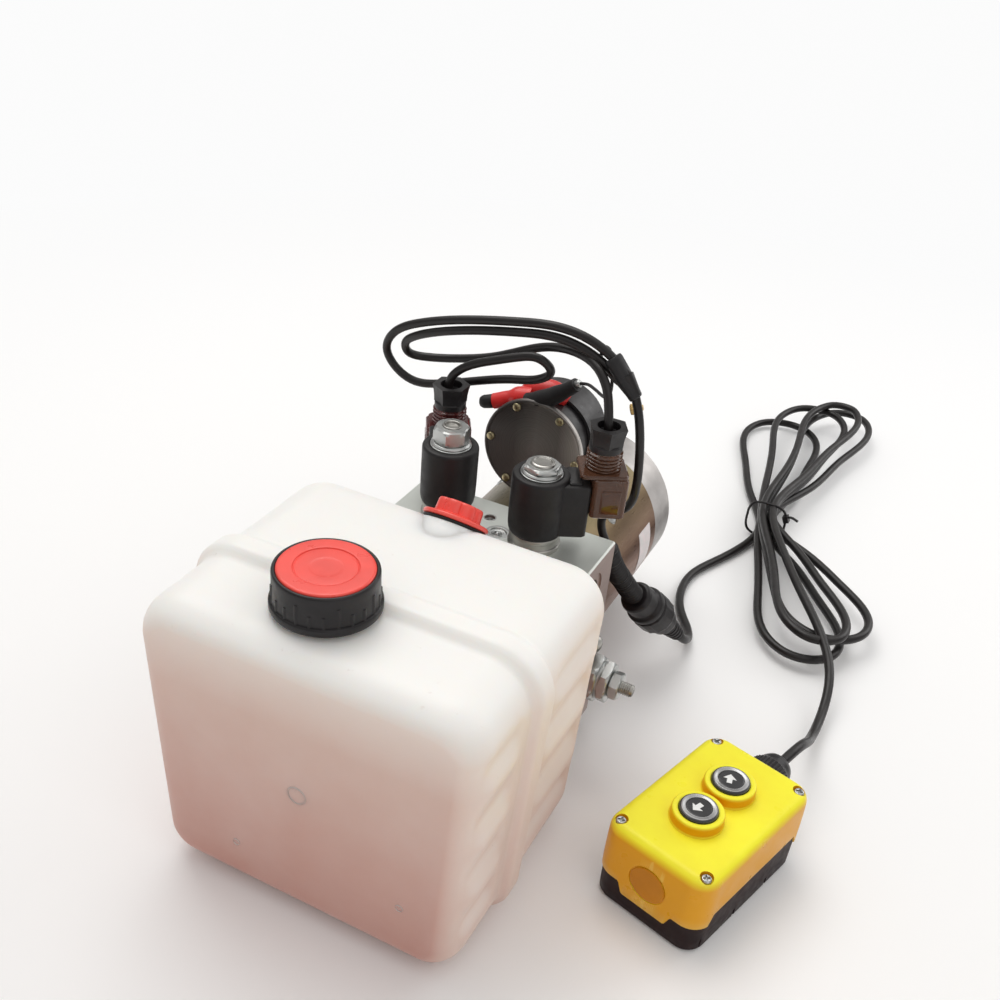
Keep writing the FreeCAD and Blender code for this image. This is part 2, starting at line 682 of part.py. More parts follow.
def coil_spring(label, start, end, radius, wire, turns):
    """A closed-coil spring along the relief valve's axis."""
    reach = end - start - 2 * wire
    helix = Part.makeHelix(reach / turns, reach, radius)
    ring = Part.Wire(Part.makeCircle(wire, Vector(radius, 0, 0), Vector(0, 1, 0)))
    spring = Part.Wire(helix.Edges).makePipeShell([ring], True, True)
    node = shape_node(label, spring)
    node.Placement = Placement(Vector(start + wire, size("relief_y"), size("relief_z")), DIRECTIONS["+x"])
    return node


def build_flow_screw():
    """The lowering-speed screw: a threaded stem with a domed, slotted head."""
    return cut("flow_screw", turned("flow_stem", [
        ("0", "0"), ("2", "0"), ("3.95", "3"), ("3.95", "20"), ("5.6", "20"), ("5.6", "27"), ("4", "30"),
        ("0", "30.5"),
    ], ("block_right - 19", "relief_y", "flow_z"), "+x"),
        block("flow_slot", ("3", "14", "1.4"), ("block_right + 9.5", "relief_y - 7", "flow_z - 0.7")))


# ---------------------------------------------------------------- motor

def build_motor():
    """Permanent-magnet motor: drive-end plate, yoke, magnets, armature, brushes and end cap."""
    axis = ("0", "0", "shaft_z")
    inner = "motor_r - motor_wall"
    plate = cut("motor_front_plate", turned("motor_plate_blank", [
        ("8.2", "0"), ("motor_r", "0"), ("motor_r", "plate_thick"), ("bearing_r", "plate_thick"),
        ("bearing_r", "plate_thick - bearing_width"),
        ("8.2", "plate_thick - bearing_width"),
    ], axis, "+y"), *bolt_tools("motor_plate_hole"))
    yoke_tools = [pole_tool(index, "pole_hole", "5.5", "motor_r - 2", "10") for index in range(4)]
    yoke = cut(
        "motor_yoke", tube("motor_yoke_blank", "motor_r", inner, "plate_thick", "yoke_end", axis, "+y"),
        *yoke_tools
    )
    screws = group(
        "pole_screws", [pole_tool(index, "pole_screw", "5.5", "motor_r - 2", "1.8") for index in range(4)]
    )
    end_cap = cut("motor_end_cap", turned("motor_end_blank", [
        ("0", "motor_end"), ("0", "161"), ("bearing_r", "161"), ("bearing_r", "149"),
        ("bearing_r + 4", "149"),
        ("bearing_r + 4", "motor_end - 6"), (inner, "motor_end - 6"), (inner, "yoke_end"),
        ("motor_r", "yoke_end"),
        ("motor_r", "motor_end - 6"), ("motor_r - 6", "motor_end"),
    ], axis, "+y"), *bolt_tools("motor_cap_hole"))
    shaft = turned("armature", [
        ("0", "0 - 10"), ("gear_shaft", "0 - 10"), ("gear_shaft", "0 - 24"), ("8", "0 - 24"), ("8", "1"),
        ("spindle_r", "2"),
        ("spindle_r", "24"), ("30", "26"), ("30", "core_near"), ("core_r", "core_near"),
        ("core_r", "core_far"), ("30", "core_far"),
        ("30", "core_far + 7"), ("spindle_r", "core_far + 9"), ("spindle_r", "160"), ("0", "160"),
    ], axis, "+y")
    commutator = tube("commutator", "20", "spindle_r", "core_far + 9.5", "148", axis, "+y")
    bearings = group("motor_bearings", [
        tube(
            "front_bearing", "bearing_r", "spindle_r + running_gap", "plate_thick - bearing_width",
            "plate_thick", axis, "+y"
        ),
        tube(
            "rear_bearing", "bearing_r", "spindle_r + running_gap", "149", "149 + bearing_width", axis, "+y"
        ),
    ])
    magnets = group("motor_magnets", [magnet(index) for index in range(4)])
    brushes = group("motor_brushes", [brush(index) for index in range(4)])
    bolts = group("motor_bolts", [long_bolt(index, x) for index, (x, _) in enumerate(motor_bolt_centres())])
    return [plate, yoke, screws, end_cap, shaft, commutator, bearings, magnets, brushes, bolts]


def radial(label, radius, length, angle, start, y):
    """A cylinder that points outward from the motor's axis, at an angle from straight up."""
    item = cylinder(
        label, radius, length, (f"({start}) * sin({angle})", y, f"shaft_z + ({start}) * cos({angle})")
    )
    return place(item, (f"({start}) * sin({angle})", y, f"shaft_z + ({start}) * cos({angle})"),
                 Rotation(Vector(0, 1, 0), angle))


def pole_tool(index, name, radius, start, length):
    return radial(f"{name}_{index}", radius, length, 45 + 90 * index, start, "pole_y")


def bolt_tools(name):
    return [cylinder(f"{name}_{index}", "motor_bolt_r", "240", (x, "0 - 30", z), "+y")
            for index, (x, z) in enumerate(motor_bolt_centres())]


def long_bolt(index, x):
    """A hexagon-headed bolt through the whole motor into the manifold, head at the end cap."""
    shank = cylinder(
        f"motor_bolt_shank_{index}", "motor_bolt_r", "motor_end + 19", (x, "0 - 18", "shaft_z"), "+y"
    )
    head = hexagon(f"motor_bolt_head_{index}", "10", "4", (x, "motor_end", "shaft_z"), "+y")
    return fused(f"motor_bolt_{index}", shank, head)


def magnet(index):
    """One curved magnet against the yoke, centred on a pole screw."""
    outer, inner = "motor_r - motor_wall", "motor_r - motor_wall - magnet_thick"
    shell = tube(
        f"magnet_ring_{index}", outer, inner, "core_near - 5", "core_far + 5", ("0", "0", "shaft_z"), "+y"
    )
    wedge = doc.addObject("Part::Cylinder", f"magnet_wedge_{index}")
    bind(wedge, "Radius", "motor_r")
    bind(wedge, "Height", "core_far - core_near + 30")
    wedge.Angle = 70
    turn = Rotation(Vector(0, 1, 0), 90 * index - 80) * DIRECTIONS["+y"]
    place(wedge, ("0", "core_near - 15", "shaft_z"), turn)
    common = doc.addObject("Part::Common", f"magnet_{index}")
    common.Base, common.Tool = shell, wedge
    return common


def brush(index):
    """A carbon block that rides on the commutator."""
    angle, reach, half = 90 * index, 20.1, 4
    corner = (
        f"{reach} * sin({angle}) - {half} * cos({angle})", "core_far + 14",
        f"shaft_z + {reach} * cos({angle}) + {half} * sin({angle})",
    )
    return block(f"brush_{index}", (str(2 * half), "12", "18"), corner, Rotation(Vector(0, 1, 0), angle))


# ---------------------------------------------------------------- contactor

def build_contactor():
    """Motor contactor: steel can and riveted end disc, moving contact, saddle, studs and boots."""
    at = ("can_x", "can_y", "can_z")
    can = turned("contactor_can", [
        ("can_r", "disc_thick"), ("can_r", "can_length - 2"), ("can_r - 2", "can_length"),
        ("0", "can_length"),
        ("0", "can_length - 3"), ("can_r - 2.5", "can_length - 3"), ("can_r - 2.5", "disc_thick"),
    ], at, "+y")
    disc = turned("contactor_disc", [
        ("0", "0"), ("disc_r - 1", "0"), ("disc_r", "1"), ("disc_r", "disc_thick"), ("0", "disc_thick"),
    ], at, "+y")
    rivets = group("contactor_rivets", [
        cylinder(f"contactor_rivet_{index}", "2.6", "1.2",
                 (
                     f"can_x + 28.8 * sin({33 + 60 * index})", "can_y - 1.2",
                     f"can_z + 28.8 * cos({33 + 60 * index})"
                 ),
                 "+y")
        for index in range(6)
    ])
    plunger = turned("contactor_plunger", [
        ("0", "0"), ("7", "0"), ("7", "22"), ("2.5", "22"), ("2.5", "28"), ("15", "28"), ("15", "31"),
        ("0", "31"),
    ], ("can_x", "can_y + 8", "can_z"), "+y")
    foot = fused(
        "saddle_blank",
        tube("saddle_strap", "can_r + 2", "can_r", "22", "46", at, "+y"),
        block(
            "saddle_foot", ("30", "24", "can_z - shaft_z - 40"),
            ("can_x - 15", "can_y + 22", "shaft_z + 40")
        ),
    )
    saddle = cut("contactor_saddle", foot,
                 cylinder("saddle_motor_side", "motor_r", "60", ("0", "can_y", "shaft_z"), "+y"),
                 cylinder("saddle_can_side", "can_r", "60", ("can_x", "can_y", "can_z"), "+y"))
    boots = group("terminal_boots", [
        boot(index, root, tip, wide) for index, (root, tip, wide) in enumerate(BOOTS)
    ])
    return [can, disc, rivets, plunger, saddle, boots]


# each boot's wide end, narrow end and wide radius
BOOTS = (
    (Vector(-20, 51.5, 181.5), Vector(-40, 49.5, 175.5), 6.5),
    (Vector(-8, 62, 186), Vector(9, 62, 187), 6.5),
    (Vector(-9, 42, 191.5), Vector(19, 38.5, 207.5), 6.3),
)


def boot(index, root, tip, wide):
    """A tapered rubber sleeve over a terminal, hollowed where it sits on the can and the disc."""
    sleeve = doc.addObject("Part::Cone", f"boot_sleeve_{index}")
    sleeve.Radius1, sleeve.Radius2, sleeve.Height = wide, wide * 0.6, (tip - root).Length
    sleeve.Placement = Placement(root, Rotation(Vector(0, 0, 1), tip - root))
    return cut(
        f"boot_{index}", sleeve,
        cylinder(f"boot_can_side_{index}", "can_r + 2.1", "50", ("can_x", "can_y + 3", "can_z"), "+y"),
        cylinder(f"boot_disc_side_{index}", "disc_r + 0.1", "4.4", ("can_x", "can_y - 1.3", "can_z"), "+y"),
    )


# ---------------------------------------------------------------- wiring

# centre lines of the two solenoid leads, from each gland to the sleeve beside the lower valve
RAISE_LEAD = (
    (-42.5, 0.6, 197), (-42.3, 0.8, 211), (-32, 2, 220), (-18, 4, 226), (-4, 6, 231), (8, 8, 232),
    (14, 10, 226),
    (8, 12, 219), (-9, 14, 213), (-35, 16, 204), (-58, 16, 196), (-74, 14, 194), (-87, 12, 201),
    (-92, 10, 212),
    (-87, 8, 223), (-68, 6, 235), (-36, 4, 245.5), (-5, 4, 252), (18, 4, 254.8), (39, 4, 251.5),
    (54, 4, 243.5), (60.3, 4, 238.7),
)
LOWER_LEAD = (
    (59.6, -11.5, 197), (59.5, -11.2, 211), (57, -9, 223), (53, -6, 233), (45, -1, 240), (32, 6, 242),
    (14, 13, 239),
    (-4, 19, 231), (-27, 23, 219), (-51, 24, 211), (-70, 21, 208), (-80, 15, 211), (-80, 11, 217.5),
    (-73.5, 7, 224.5),
    (-60, 4, 231.7), (-34, 3.4, 240), (-4.2, 3.4, 246.4), (17, 3.4, 249), (36, 3.4, 246), (50, 3.4, 239.3),
    (56.1, 3.45, 235),
)
DOWN_LEADS = (
    (67, 3.2, 227.5), (70.5, 2.8, 218), (73.5, 2.4, 205), (75.5, 2.4, 190), (76, 3.2, 175),
    (73, 6.5, 161), (64.5, 11, 151.5), (57, 12, 144.5), (57.5, 12.5, 135), (63, 13, 125.5),
)
SLEEVE = (Vector(58.6, 3.7, 237), Vector(66.8, 3.2, 228))
CONDUIT = ((64, 14, 122), (66, 22, 106), (69, 36, 89), (72, 47, 75), (74.4, 51.7, 69.7))
CONNECTOR = (Vector(74.6, 52, 69.3), Vector(97.5, 95.7, 19.6))

# the cable is swept in this many pieces so that no piece bends too far
HANK_SPANS = 46

# each turn of the hank: how far its far and near lobes reach from the tie, and their half widths
HANK_TURNS = (
    ((-38, 204), 30, (77, -153), 26),
    ((14, 245), 22, (92, -128), 30),
    ((-12, 222), 26, (82, -146), 20),
    ((8, 228), 16, None, 0),
)


def lobe(tie, reach, wide, first_side):
    """Plan points round one lobe of the hank: out along a flank, round the tip, back along the other."""
    along = Vector(reach[0], reach[1], 0)
    across = Vector(along.y, -along.x, 0).normalize() * first_side
    ahead = Vector(along).normalize()
    flank = [(0.3, 0.55), (0.58, 0.9)]
    outline_points = [tie + along * far + across * wide * side for far, side in flank]
    for degrees in (70, 35, 0, -35, -70):
        swing = math.radians(degrees)
        outline_points.append(
            tie + ahead * (along.Length - wide + wide * math.cos(swing)) + across * wide * math.sin(swing)
        )
    return outline_points + [tie + along * far - across * wide * side for far, side in reversed(flank)]


def hank_points():
    """The control cable's centre line: connector, floor, tied hank, and up to the hand control."""
    radius, pitch = size("control_cable_r"), size("hank_pitch")
    tie = Vector(size("hank_x"), size("hank_y"), 0)
    aside = Vector(4, 0, 0)
    plan, spacing = [], []
    for far, far_width, near, near_width in HANK_TURNS:
        plan += [tie - aside] + lobe(tie, far, far_width, -1) + [tie + aside]
        if near:
            plan += lobe(tie, near, near_width, -1)
    per_turn = 20
    coiled = [Vector(p.x, p.y, radius + 1 + pitch * index / per_turn) for index, p in enumerate(plan)]
    plug_end = CONNECTOR[1]
    onward = (plug_end - CONNECTOR[0]).normalize()
    floor = radius + 0.4
    entry = [
        plug_end + onward * 0.9, plug_end + onward * 7, Vector(101, 112, 7), Vector(96, 128, floor),
        Vector(86, 144, floor),
        Vector(77, 168, floor), Vector(76, 197, floor), Vector(86, 226, floor), Vector(97, 256, floor),
    ]
    top = coiled[-1].z
    exit_run = [
        Vector(130, 235, top), Vector(158, 185, top - 1), Vector(186, 140, top - 4), Vector(200, 109, 18),
        Vector(204, 83, 10),
        Vector(204, 45, 14),
    ]
    turn = Rotation(Vector(0, 0, 1), size("box_turn"))
    gland = Vector(size("box_x"), size("box_y"), 0) + turn.multVec(Vector(0, size("box_length") / 2, 33))
    outward = turn.multVec(Vector(0, 1, 0))
    return entry + coiled + exit_run + [gland + outward * length for length in (44, 30, 18, 4)]


def build_wiring():
    """Solenoid leads, corrugated conduit, in-line connector and hanked control cable."""
    lead_r = size("lead_r")
    leads = [cable([Vector(*p) for p in points], lead_r) for points in (RAISE_LEAD, LOWER_LEAD, DOWN_LEADS)]
    mouth, outlet = SLEEVE
    leads.append(Part.makeCone(5.6, 3.6, (outlet - mouth).Length, mouth, outlet - mouth))
    solenoid_leads = shape_node("solenoid_leads", Part.makeCompound(leads))
    conduit = shape_node("harness_conduit", cable([Vector(*p) for p in CONDUIT], 8))
    start, end = CONNECTOR
    connector = turned("inline_connector", [
        ("0", "0"), ("9", "0"), ("11", "3"), ("11", "14"), ("13", "15"), ("13", "34"), ("11", "36"),
        ("10", "46"), ("6.5", "50"),
        ("5", "60"), ("4.2", "70"), ("0", "70"),
    ], [str(v) for v in start], Rotation(Vector(0, 0, 1), end - start))
    control = shape_node("control_cable", cable(hank_points(), size("control_cable_r"), HANK_SPANS))
    return [solenoid_leads, conduit, connector, control]


# ---------------------------------------------------------------- hand control

def in_box(item, x="0", y="0", z="0", along=None):
    """Places a piece by its position in the hand control, which lies turned on the floor."""
    turn = Rotation(Vector(0, 0, 1), size("box_turn"))
    base = (
        f"box_x + ({x}) * cos(box_turn) - ({y}) * sin(box_turn)",
        f"box_y + ({x}) * sin(box_turn) + ({y}) * cos(box_turn)", z,
    )
    return place(item, base, turn * along if along else turn)


def rounded_block(label, wide, long, tall, radius, z="0"):
    """A box centred on the hand control's axis with its upright edges rounded."""
    blank = block(label + "_blank", (wide, long, tall), (f"0 - ({wide}) / 2", f"0 - ({long}) / 2", z))
    return rounded(label, blank, radius, upright)


def box_corners():
    return [(f"0 {a} screw_pitch_x / 2", f"0 {b} screw_pitch_y / 2") for a in "+-" for b in "+-"]


def build_hand_control():
    """Two-part case, four lid screws, gland, two push buttons and their contact blocks."""
    inner_wide, inner_long = "box_width - 2 * box_wall", "box_length - 2 * box_wall"
    base = cut(
        "control_base",
        rounded_block("base_outer", "box_width - 1", "box_length - 1", "box_parting", "box_round - 0.5"),
        block(
            "base_room", (f"{inner_wide} - 20", inner_long, "60"),
            (f"0 - ({inner_wide} - 20) / 2", f"0 - ({inner_long}) / 2", "box_wall")
        ),
        block(
            "base_room_wide", (inner_wide, f"{inner_long} - 24", "60"),
            (f"0 - ({inner_wide}) / 2", f"0 - ({inner_long} - 24) / 2", "box_wall")
        ),
        *[cylinder(f"base_screw_{i}", "2", "60", (x, y, "8")) for i, (x, y) in enumerate(box_corners())],
    )
    cover_outer = rounded_block(
        "cover_outer", "box_width", "box_length", "box_lid - box_parting", "box_round", "box_parting"
    )
    shell = fused("cover_blank", cover_outer,
                  *[
                      cylinder(
                          f"collar_{i}", "collar_r", "collar_top - box_lid + 1", ("0", y, "box_lid - 1")
                      ) for i, y in enumerate(BUTTON_PLACES)
                  ])
    cover = cut(
        "control_cover", shell,
        block("cover_room", (f"{inner_wide} - 20", inner_long, "box_lid - 3 - box_parting + 5"),
              (f"0 - ({inner_wide} - 20) / 2", f"0 - ({inner_long}) / 2", "box_parting - 5")),
        block("cover_room_wide", (inner_wide, f"{inner_long} - 24", "box_lid - 3 - box_parting + 5"),
              (f"0 - ({inner_wide}) / 2", f"0 - ({inner_long} - 24) / 2", "box_parting - 5")),
        *[
            cylinder(f"cover_screw_{i}", "2", "60", (x, y, "box_parting - 5"))
            for i, (x, y) in enumerate(box_corners())
        ],
        *[
            cylinder(f"cover_screw_head_{i}", "3.8", "10", (x, y, "box_lid - 2"))
            for i, (x, y) in enumerate(box_corners())
        ],
        *[
            cylinder(f"button_hole_{i}", "button_r + 0.2", "60", ("0", y, "box_parting"))
            for i, y in enumerate(BUTTON_PLACES)
        ],
        cylinder("gland_hole", "6", "20", ("0", "box_length / 2 - 8", "33"), "+y"),
    )
    screws = group("control_screws", [
        turned(
            f"control_screw_{i}",
            [
                ("0", "9"), ("2", "9"), ("2", "box_lid - 2"), ("3.6", "box_lid - 2"),
                ("3.6", "box_lid - 0.6"), ("0", "box_lid - 0.6")
            ],
            (x, y, "0")
        )
        for i, (x, y) in enumerate(box_corners())
    ])
    gland = turned("control_gland", [
        ("control_cable_r + 0.2", "0 - 8"), ("6", "0 - 8"), ("6", "0"), ("12", "0"), ("12", "7"),
        ("10.8", "7.6"), ("10.4", "20"), ("7", "25"),
        ("control_cable_r + 0.2", "25"),
    ])
    contacts = group("contact_blocks", [
        block(
            f"contact_block_{i}", ("20", "22", "box_lid - 22"), ("0 - 10", f"({y}) - 11", "box_wall + 0.5")
        )
        for i, y in enumerate(BUTTON_PLACES)
    ])
    parts = [in_box(item) for item in (base, cover, screws, contacts)]
    in_box(gland, "0", "box_length / 2", "33", DIRECTIONS["+y"])
    for name, y in zip(("down", "up"), BUTTON_PLACES):
        button = turned(f"{name}_button", [
            ("0", "box_lid - 12"), ("button_r + 2", "box_lid - 12"), ("button_r + 2", "box_lid - 9"),
            ("button_r", "box_lid - 9"),
            ("button_r", "button_top - 1"), ("button_r - 1", "button_top"), ("0", "button_top"),
        ])
        parts.append(in_box(button, "0", y))
    return parts + [gland]


BUTTON_PLACES = ("0 - button_pitch / 2", "button_pitch / 2")

NODES = (
    "tank_shell", "tank_screws", "filler_cap", "filler_cap_disc", "filler_gasket", "breather_plug",
    "breather_seal",
    "suction_tube", "suction_strainer", "pump_body", "pump_cover", "drive_gear", "driven_gear",
    "pump_bolts",
    "manifold_block", "manifold_plugs", "raise_valve_body", "raise_valve_plunger", "raise_coil",
    "raise_coil_nut",
    "raise_plug", "lower_valve_body", "lower_valve_plunger", "lower_coil", "lower_coil_nut",
    "lower_plug", "gland_nuts", "contact_blocks", "relief_body", "relief_poppet", "relief_spring",
    "relief_adjuster",
    "relief_lock_nut", "flow_screw", "motor_front_plate", "motor_yoke", "pole_screws", "motor_end_cap",
    "armature",
    "commutator", "motor_bearings", "motor_magnets", "motor_brushes", "motor_bolts", "contactor_can",
    "contactor_disc", "contactor_rivets", "contactor_plunger", "contactor_saddle", "terminal_boots",
    "solenoid_leads", "harness_conduit", "inline_connector", "control_cable", "control_base",
    "control_cover",
    "control_screws", "control_gland", "up_button", "down_button",
)


def check_document():
    """Stops when any object failed to compute, or a sub-part is empty or not a valid solid."""
    bad = [item.Label for item in doc.Objects if {"Invalid", "Error"} & set(item.State)]
    for name in NODES:
        shape = doc.getObject(name).Shape
        if shape.isNull() or not shape.isValid() or not shape.Solids:
            bad.append(name)
    if bad:
        raise RuntimeError("failed objects: " + ", ".join(bad))


def written_shape(name):
    """A node's shape placed about the middle of the manifold's mounting face."""
    shape = doc.getObject(name).Shape.copy()
    middle = Vector(size("block_left + block_right") / 2, size("block_front") / 2, size("block_low"))
    shape.translate(-middle)
    return shape


def main():
    fill_sheet()
    build_tank()
    build_tank_screws()
    build_caps()
    build_suction()
    build_pump()
    build_manifold()
    build_manifold_plugs()
    group("gland_nuts", [build_valve("raise", "16"), build_valve("lower", "6.5")])
    build_relief()
    build_flow_screw()
    build_motor()
    build_contactor()
    build_wiring()
    build_hand_control()
    doc.recompute()
    check_document()
    os.makedirs("parts", exist_ok=True)
    for name in NODES:
        written_shape(name).exportStep(f"parts/{name}.step")


main()
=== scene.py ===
"""Looks of a compact hydraulic power unit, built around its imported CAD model.

Lengths are written in millimetres from the floor, the motor's shaft line and the plane where the motor
meets the manifold. at() turns such a place into the model's own frame, in metres. Lathed profiles are lists
of (radius, height) points about a shape's own axis.
"""

import json
import math

import bmesh
import bpy
from mathutils import Matrix, Quaternion, Vector


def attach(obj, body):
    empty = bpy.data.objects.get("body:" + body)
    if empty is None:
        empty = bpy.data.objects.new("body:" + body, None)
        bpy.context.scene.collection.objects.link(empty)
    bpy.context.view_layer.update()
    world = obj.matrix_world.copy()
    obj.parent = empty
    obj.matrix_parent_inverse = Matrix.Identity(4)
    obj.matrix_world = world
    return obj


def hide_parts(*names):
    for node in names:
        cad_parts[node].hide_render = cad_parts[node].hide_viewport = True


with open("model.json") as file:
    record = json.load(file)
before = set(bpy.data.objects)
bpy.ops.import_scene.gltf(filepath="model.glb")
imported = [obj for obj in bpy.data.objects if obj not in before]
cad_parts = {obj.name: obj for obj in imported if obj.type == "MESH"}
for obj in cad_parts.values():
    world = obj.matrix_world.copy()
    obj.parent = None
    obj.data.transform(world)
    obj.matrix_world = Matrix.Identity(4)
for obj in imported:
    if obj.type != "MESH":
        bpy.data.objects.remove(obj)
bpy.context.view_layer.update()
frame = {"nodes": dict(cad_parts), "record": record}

MM = 0.001
TAU = 2 * math.pi
UP = Vector((0, 0, 1))
FRAME_ORIGIN = Vector((7, -31, 11))
Z_TO_X = Quaternion((0, 1, 0), math.pi / 2)
Z_TO_Y = Quaternion((1, 0, 0), -math.pi / 2)
FRONTWARDS = (0, -1, 0)

FILLER = (-7, -185)
BREATHER = (4, -78, 167)
SHAFT_HEIGHT = 62.5
CONTACTOR = Vector((-4, 40, 156.7))


def at(x, y, z):
    return (Vector((x, y, z)) - FRAME_ORIGIN) * MM


# ---------------------------------------------------------------- shader nodes

def node_tree(name):
    made = bpy.data.materials.new(name)
    made.use_nodes = True
    tree = made.node_tree
    return made, tree, tree.nodes["Principled BSDF"]


def feed(tree, item, **values):
    """Gives a node its inputs and properties by name, each one a value or another node's output."""
    for key, value in values.items():
        name = key.replace("_", " ")
        if name not in item.inputs:
            setattr(item, key, value)
        elif hasattr(value, "links"):
            tree.links.new(value, item.inputs[name])
        else:
            item.inputs[name].default_value = value
    return item


def add(tree, kind, **values):
    return feed(tree, tree.nodes.new("ShaderNode" + kind), **values)


def grey(value):
    return value, value, value


BLACK, WHITE = grey(0), grey(1)


def ramp(tree, source, stops):
    """A colour ramp from (position, colour) stops."""
    item = add(tree, "ValToRGB", Fac=source)
    while len(item.color_ramp.elements) < len(stops):
        item.color_ramp.elements.new(0.5)
    for element, (position, colour) in zip(item.color_ramp.elements, stops):
        element.position = position
        element.color = (*colour, 1)
    return item.outputs["Color"]


def coords(tree, stretch=(1, 1, 1)):
    place = add(tree, "TexCoord").outputs["Object"]
    return add(tree, "Mapping", Scale=stretch, Vector=place).outputs["Vector"]


def component(tree, source, axis):
    return add(tree, "SeparateXYZ", Vector=source).outputs[axis]


def noise(tree, vector, scale, detail=3):
    return add(tree, "TexNoise", Vector=vector, Scale=scale, Detail=detail, Roughness=0.55).outputs["Fac"]


def remap(tree, source, old, new=(0, 1)):
    """Takes one range of values to another."""
    item = add(tree, "MapRange", Value=source, From_Min=old[0], From_Max=old[1], To_Min=new[0],
               To_Max=new[1])
    return item.outputs["Result"]


def spread(tree, source, low, high):
    """Takes the middle of a noise to a range."""
    return remap(tree, source, (0.3, 0.7), (low, high))


def mix(tree, share, first, second, kind="MIX"):
    item = add(tree, "Mix", data_type="RGBA", blend_type=kind)
    for value, socket in ((share, item.inputs["Factor"]), (first, item.inputs[6]), (second, item.inputs[7])):
        if hasattr(value, "links"):
            tree.links.new(value, socket)
        elif socket.type == "RGBA":
            socket.default_value = (*value, 1)
        else:
            socket.default_value = value
    return item.outputs[2]


def bumped(tree, shader, height, distance, strength=1, before=None):
    """Fine relief; distance is in millimetres, and before is a bump that this one lies on."""
    item = add(tree, "Bump", Height=height, Strength=strength, Distance=distance * MM)
    if before:
        feed(tree, item, Normal=before)
    feed(tree, shader, Normal=item.outputs["Normal"])
    return item.outputs["Normal"]


# ---------------------------------------------------------------- finishes

DUST = (0.62, 0.6, 0.57)


def surface(name, colour, rough, metal=0, vary=0.1, patch=90, rough_vary=0.08, grain=900, depth=0.02,
            stretch=(1, 1, 1), wear=0, wear_colour=BLACK, coat=0, tint=None, specular=0.5, dust=0,
            side=None):
    """A general finish: patchy colour, uneven gloss, fine grain in relief, and worn edges.

    dust lightens the faces that look up, and side is a painted shade colour given to the faces that don't.
    """
    made, tree, shader = node_tree(name)
    place = coords(tree, stretch)
    dark = tuple(c * (1 - vary) for c in colour)
    light = tuple(min(1, c * (1 + vary)) for c in (tint or colour))
    out = ramp(tree, noise(tree, place, patch, 4), [(0.32, dark), (0.68, light)])
    geometry = add(tree, "NewGeometry")
    lift = component(tree, geometry.outputs["Normal"], "Z")
    # painted shade: faces that don't look up take the darker side colour
    if side:
        out = mix(tree, ramp(tree, lift, [(0.1, WHITE), (0.75, BLACK)]), out, side)
    if dust:
        out = mix(tree, ramp(tree, lift, [(0.55, BLACK), (1, grey(dust))]), out, DUST)
    if wear:
        edge = ramp(tree, geometry.outputs["Pointiness"], [(0.52, BLACK), (0.58, grey(wear))])
        out = mix(tree, edge, out, wear_colour)
    gloss = spread(tree, noise(tree, place, patch * 2.3), rough - rough_vary, rough + rough_vary)
    bumped(tree, shader, noise(tree, place, grain, 2), depth)
    feed(tree, shader, Base_Color=out, Roughness=gloss, Metallic=metal, Coat_Weight=coat,
         Specular_IOR_Level=specular)
    return made


def tank_finish():
    """Milky blow-moulded plastic, faintly mottled, with painted light: a painted pink floor reflection and
    shade low down, a painted highlight on top, and lighter painted light on its right side.
    """
    made, tree, shader = node_tree("tank_plastic")
    place = coords(tree)
    normal = add(tree, "NewGeometry").outputs["Normal"]
    height = remap(tree, component(tree, place, "Z"), (-0.011, 0.163))
    # painted pink floor reflection and painted shade: darkest and pinkest at the bottom, creamier towards
    # the top
    down = ramp(tree, height, [
        (0, (0.55, 0.275, 0.225)),
        (0.35, (0.63, 0.375, 0.315)),
        (0.75, (0.72, 0.515, 0.44)),
        (0.97, (0.87, 0.765, 0.69)),
    ])
    # painted light: faces turned to the right (+X) are lightened
    painted_side_light = ramp(tree, component(tree, normal, "X"), [(0.1, BLACK), (0.9, grey(0.5))])
    down = mix(tree, painted_side_light, down, (0.88, 0.80, 0.71))
    # painted highlight: faces that look up are turned creamy white
    painted_top_light = ramp(tree, component(tree, normal, "Z"), [(0.05, BLACK), (0.75, WHITE)])
    body = mix(tree, painted_top_light, down, (0.93, 0.915, 0.885))
    body = mix(tree, spread(tree, noise(tree, place, 22, 4), 0, 0.10), body, (1, 0.97, 0.93))
    scuffs = ramp(tree, noise(tree, place, 240, 2), [(0.70, BLACK), (0.80, grey(0.18))])
    body = mix(tree, scuffs, body, (0.55, 0.44, 0.38))
    gloss = spread(tree, noise(tree, place, 60), 0.34, 0.46)
    feed(tree, shader, Base_Color=body, Roughness=gloss, Specular_IOR_Level=0.35, Subsurface_Weight=0.35,
         Subsurface_Radius=(1, 0.75, 0.6), Subsurface_Scale=0.012)
    waves = bumped(tree, shader, noise(tree, place, 35, 2), 0.8, 0.5)
    bumped(tree, shader, noise(tree, place, 1500, 2), 0.02, 0.6, waves)
    return made


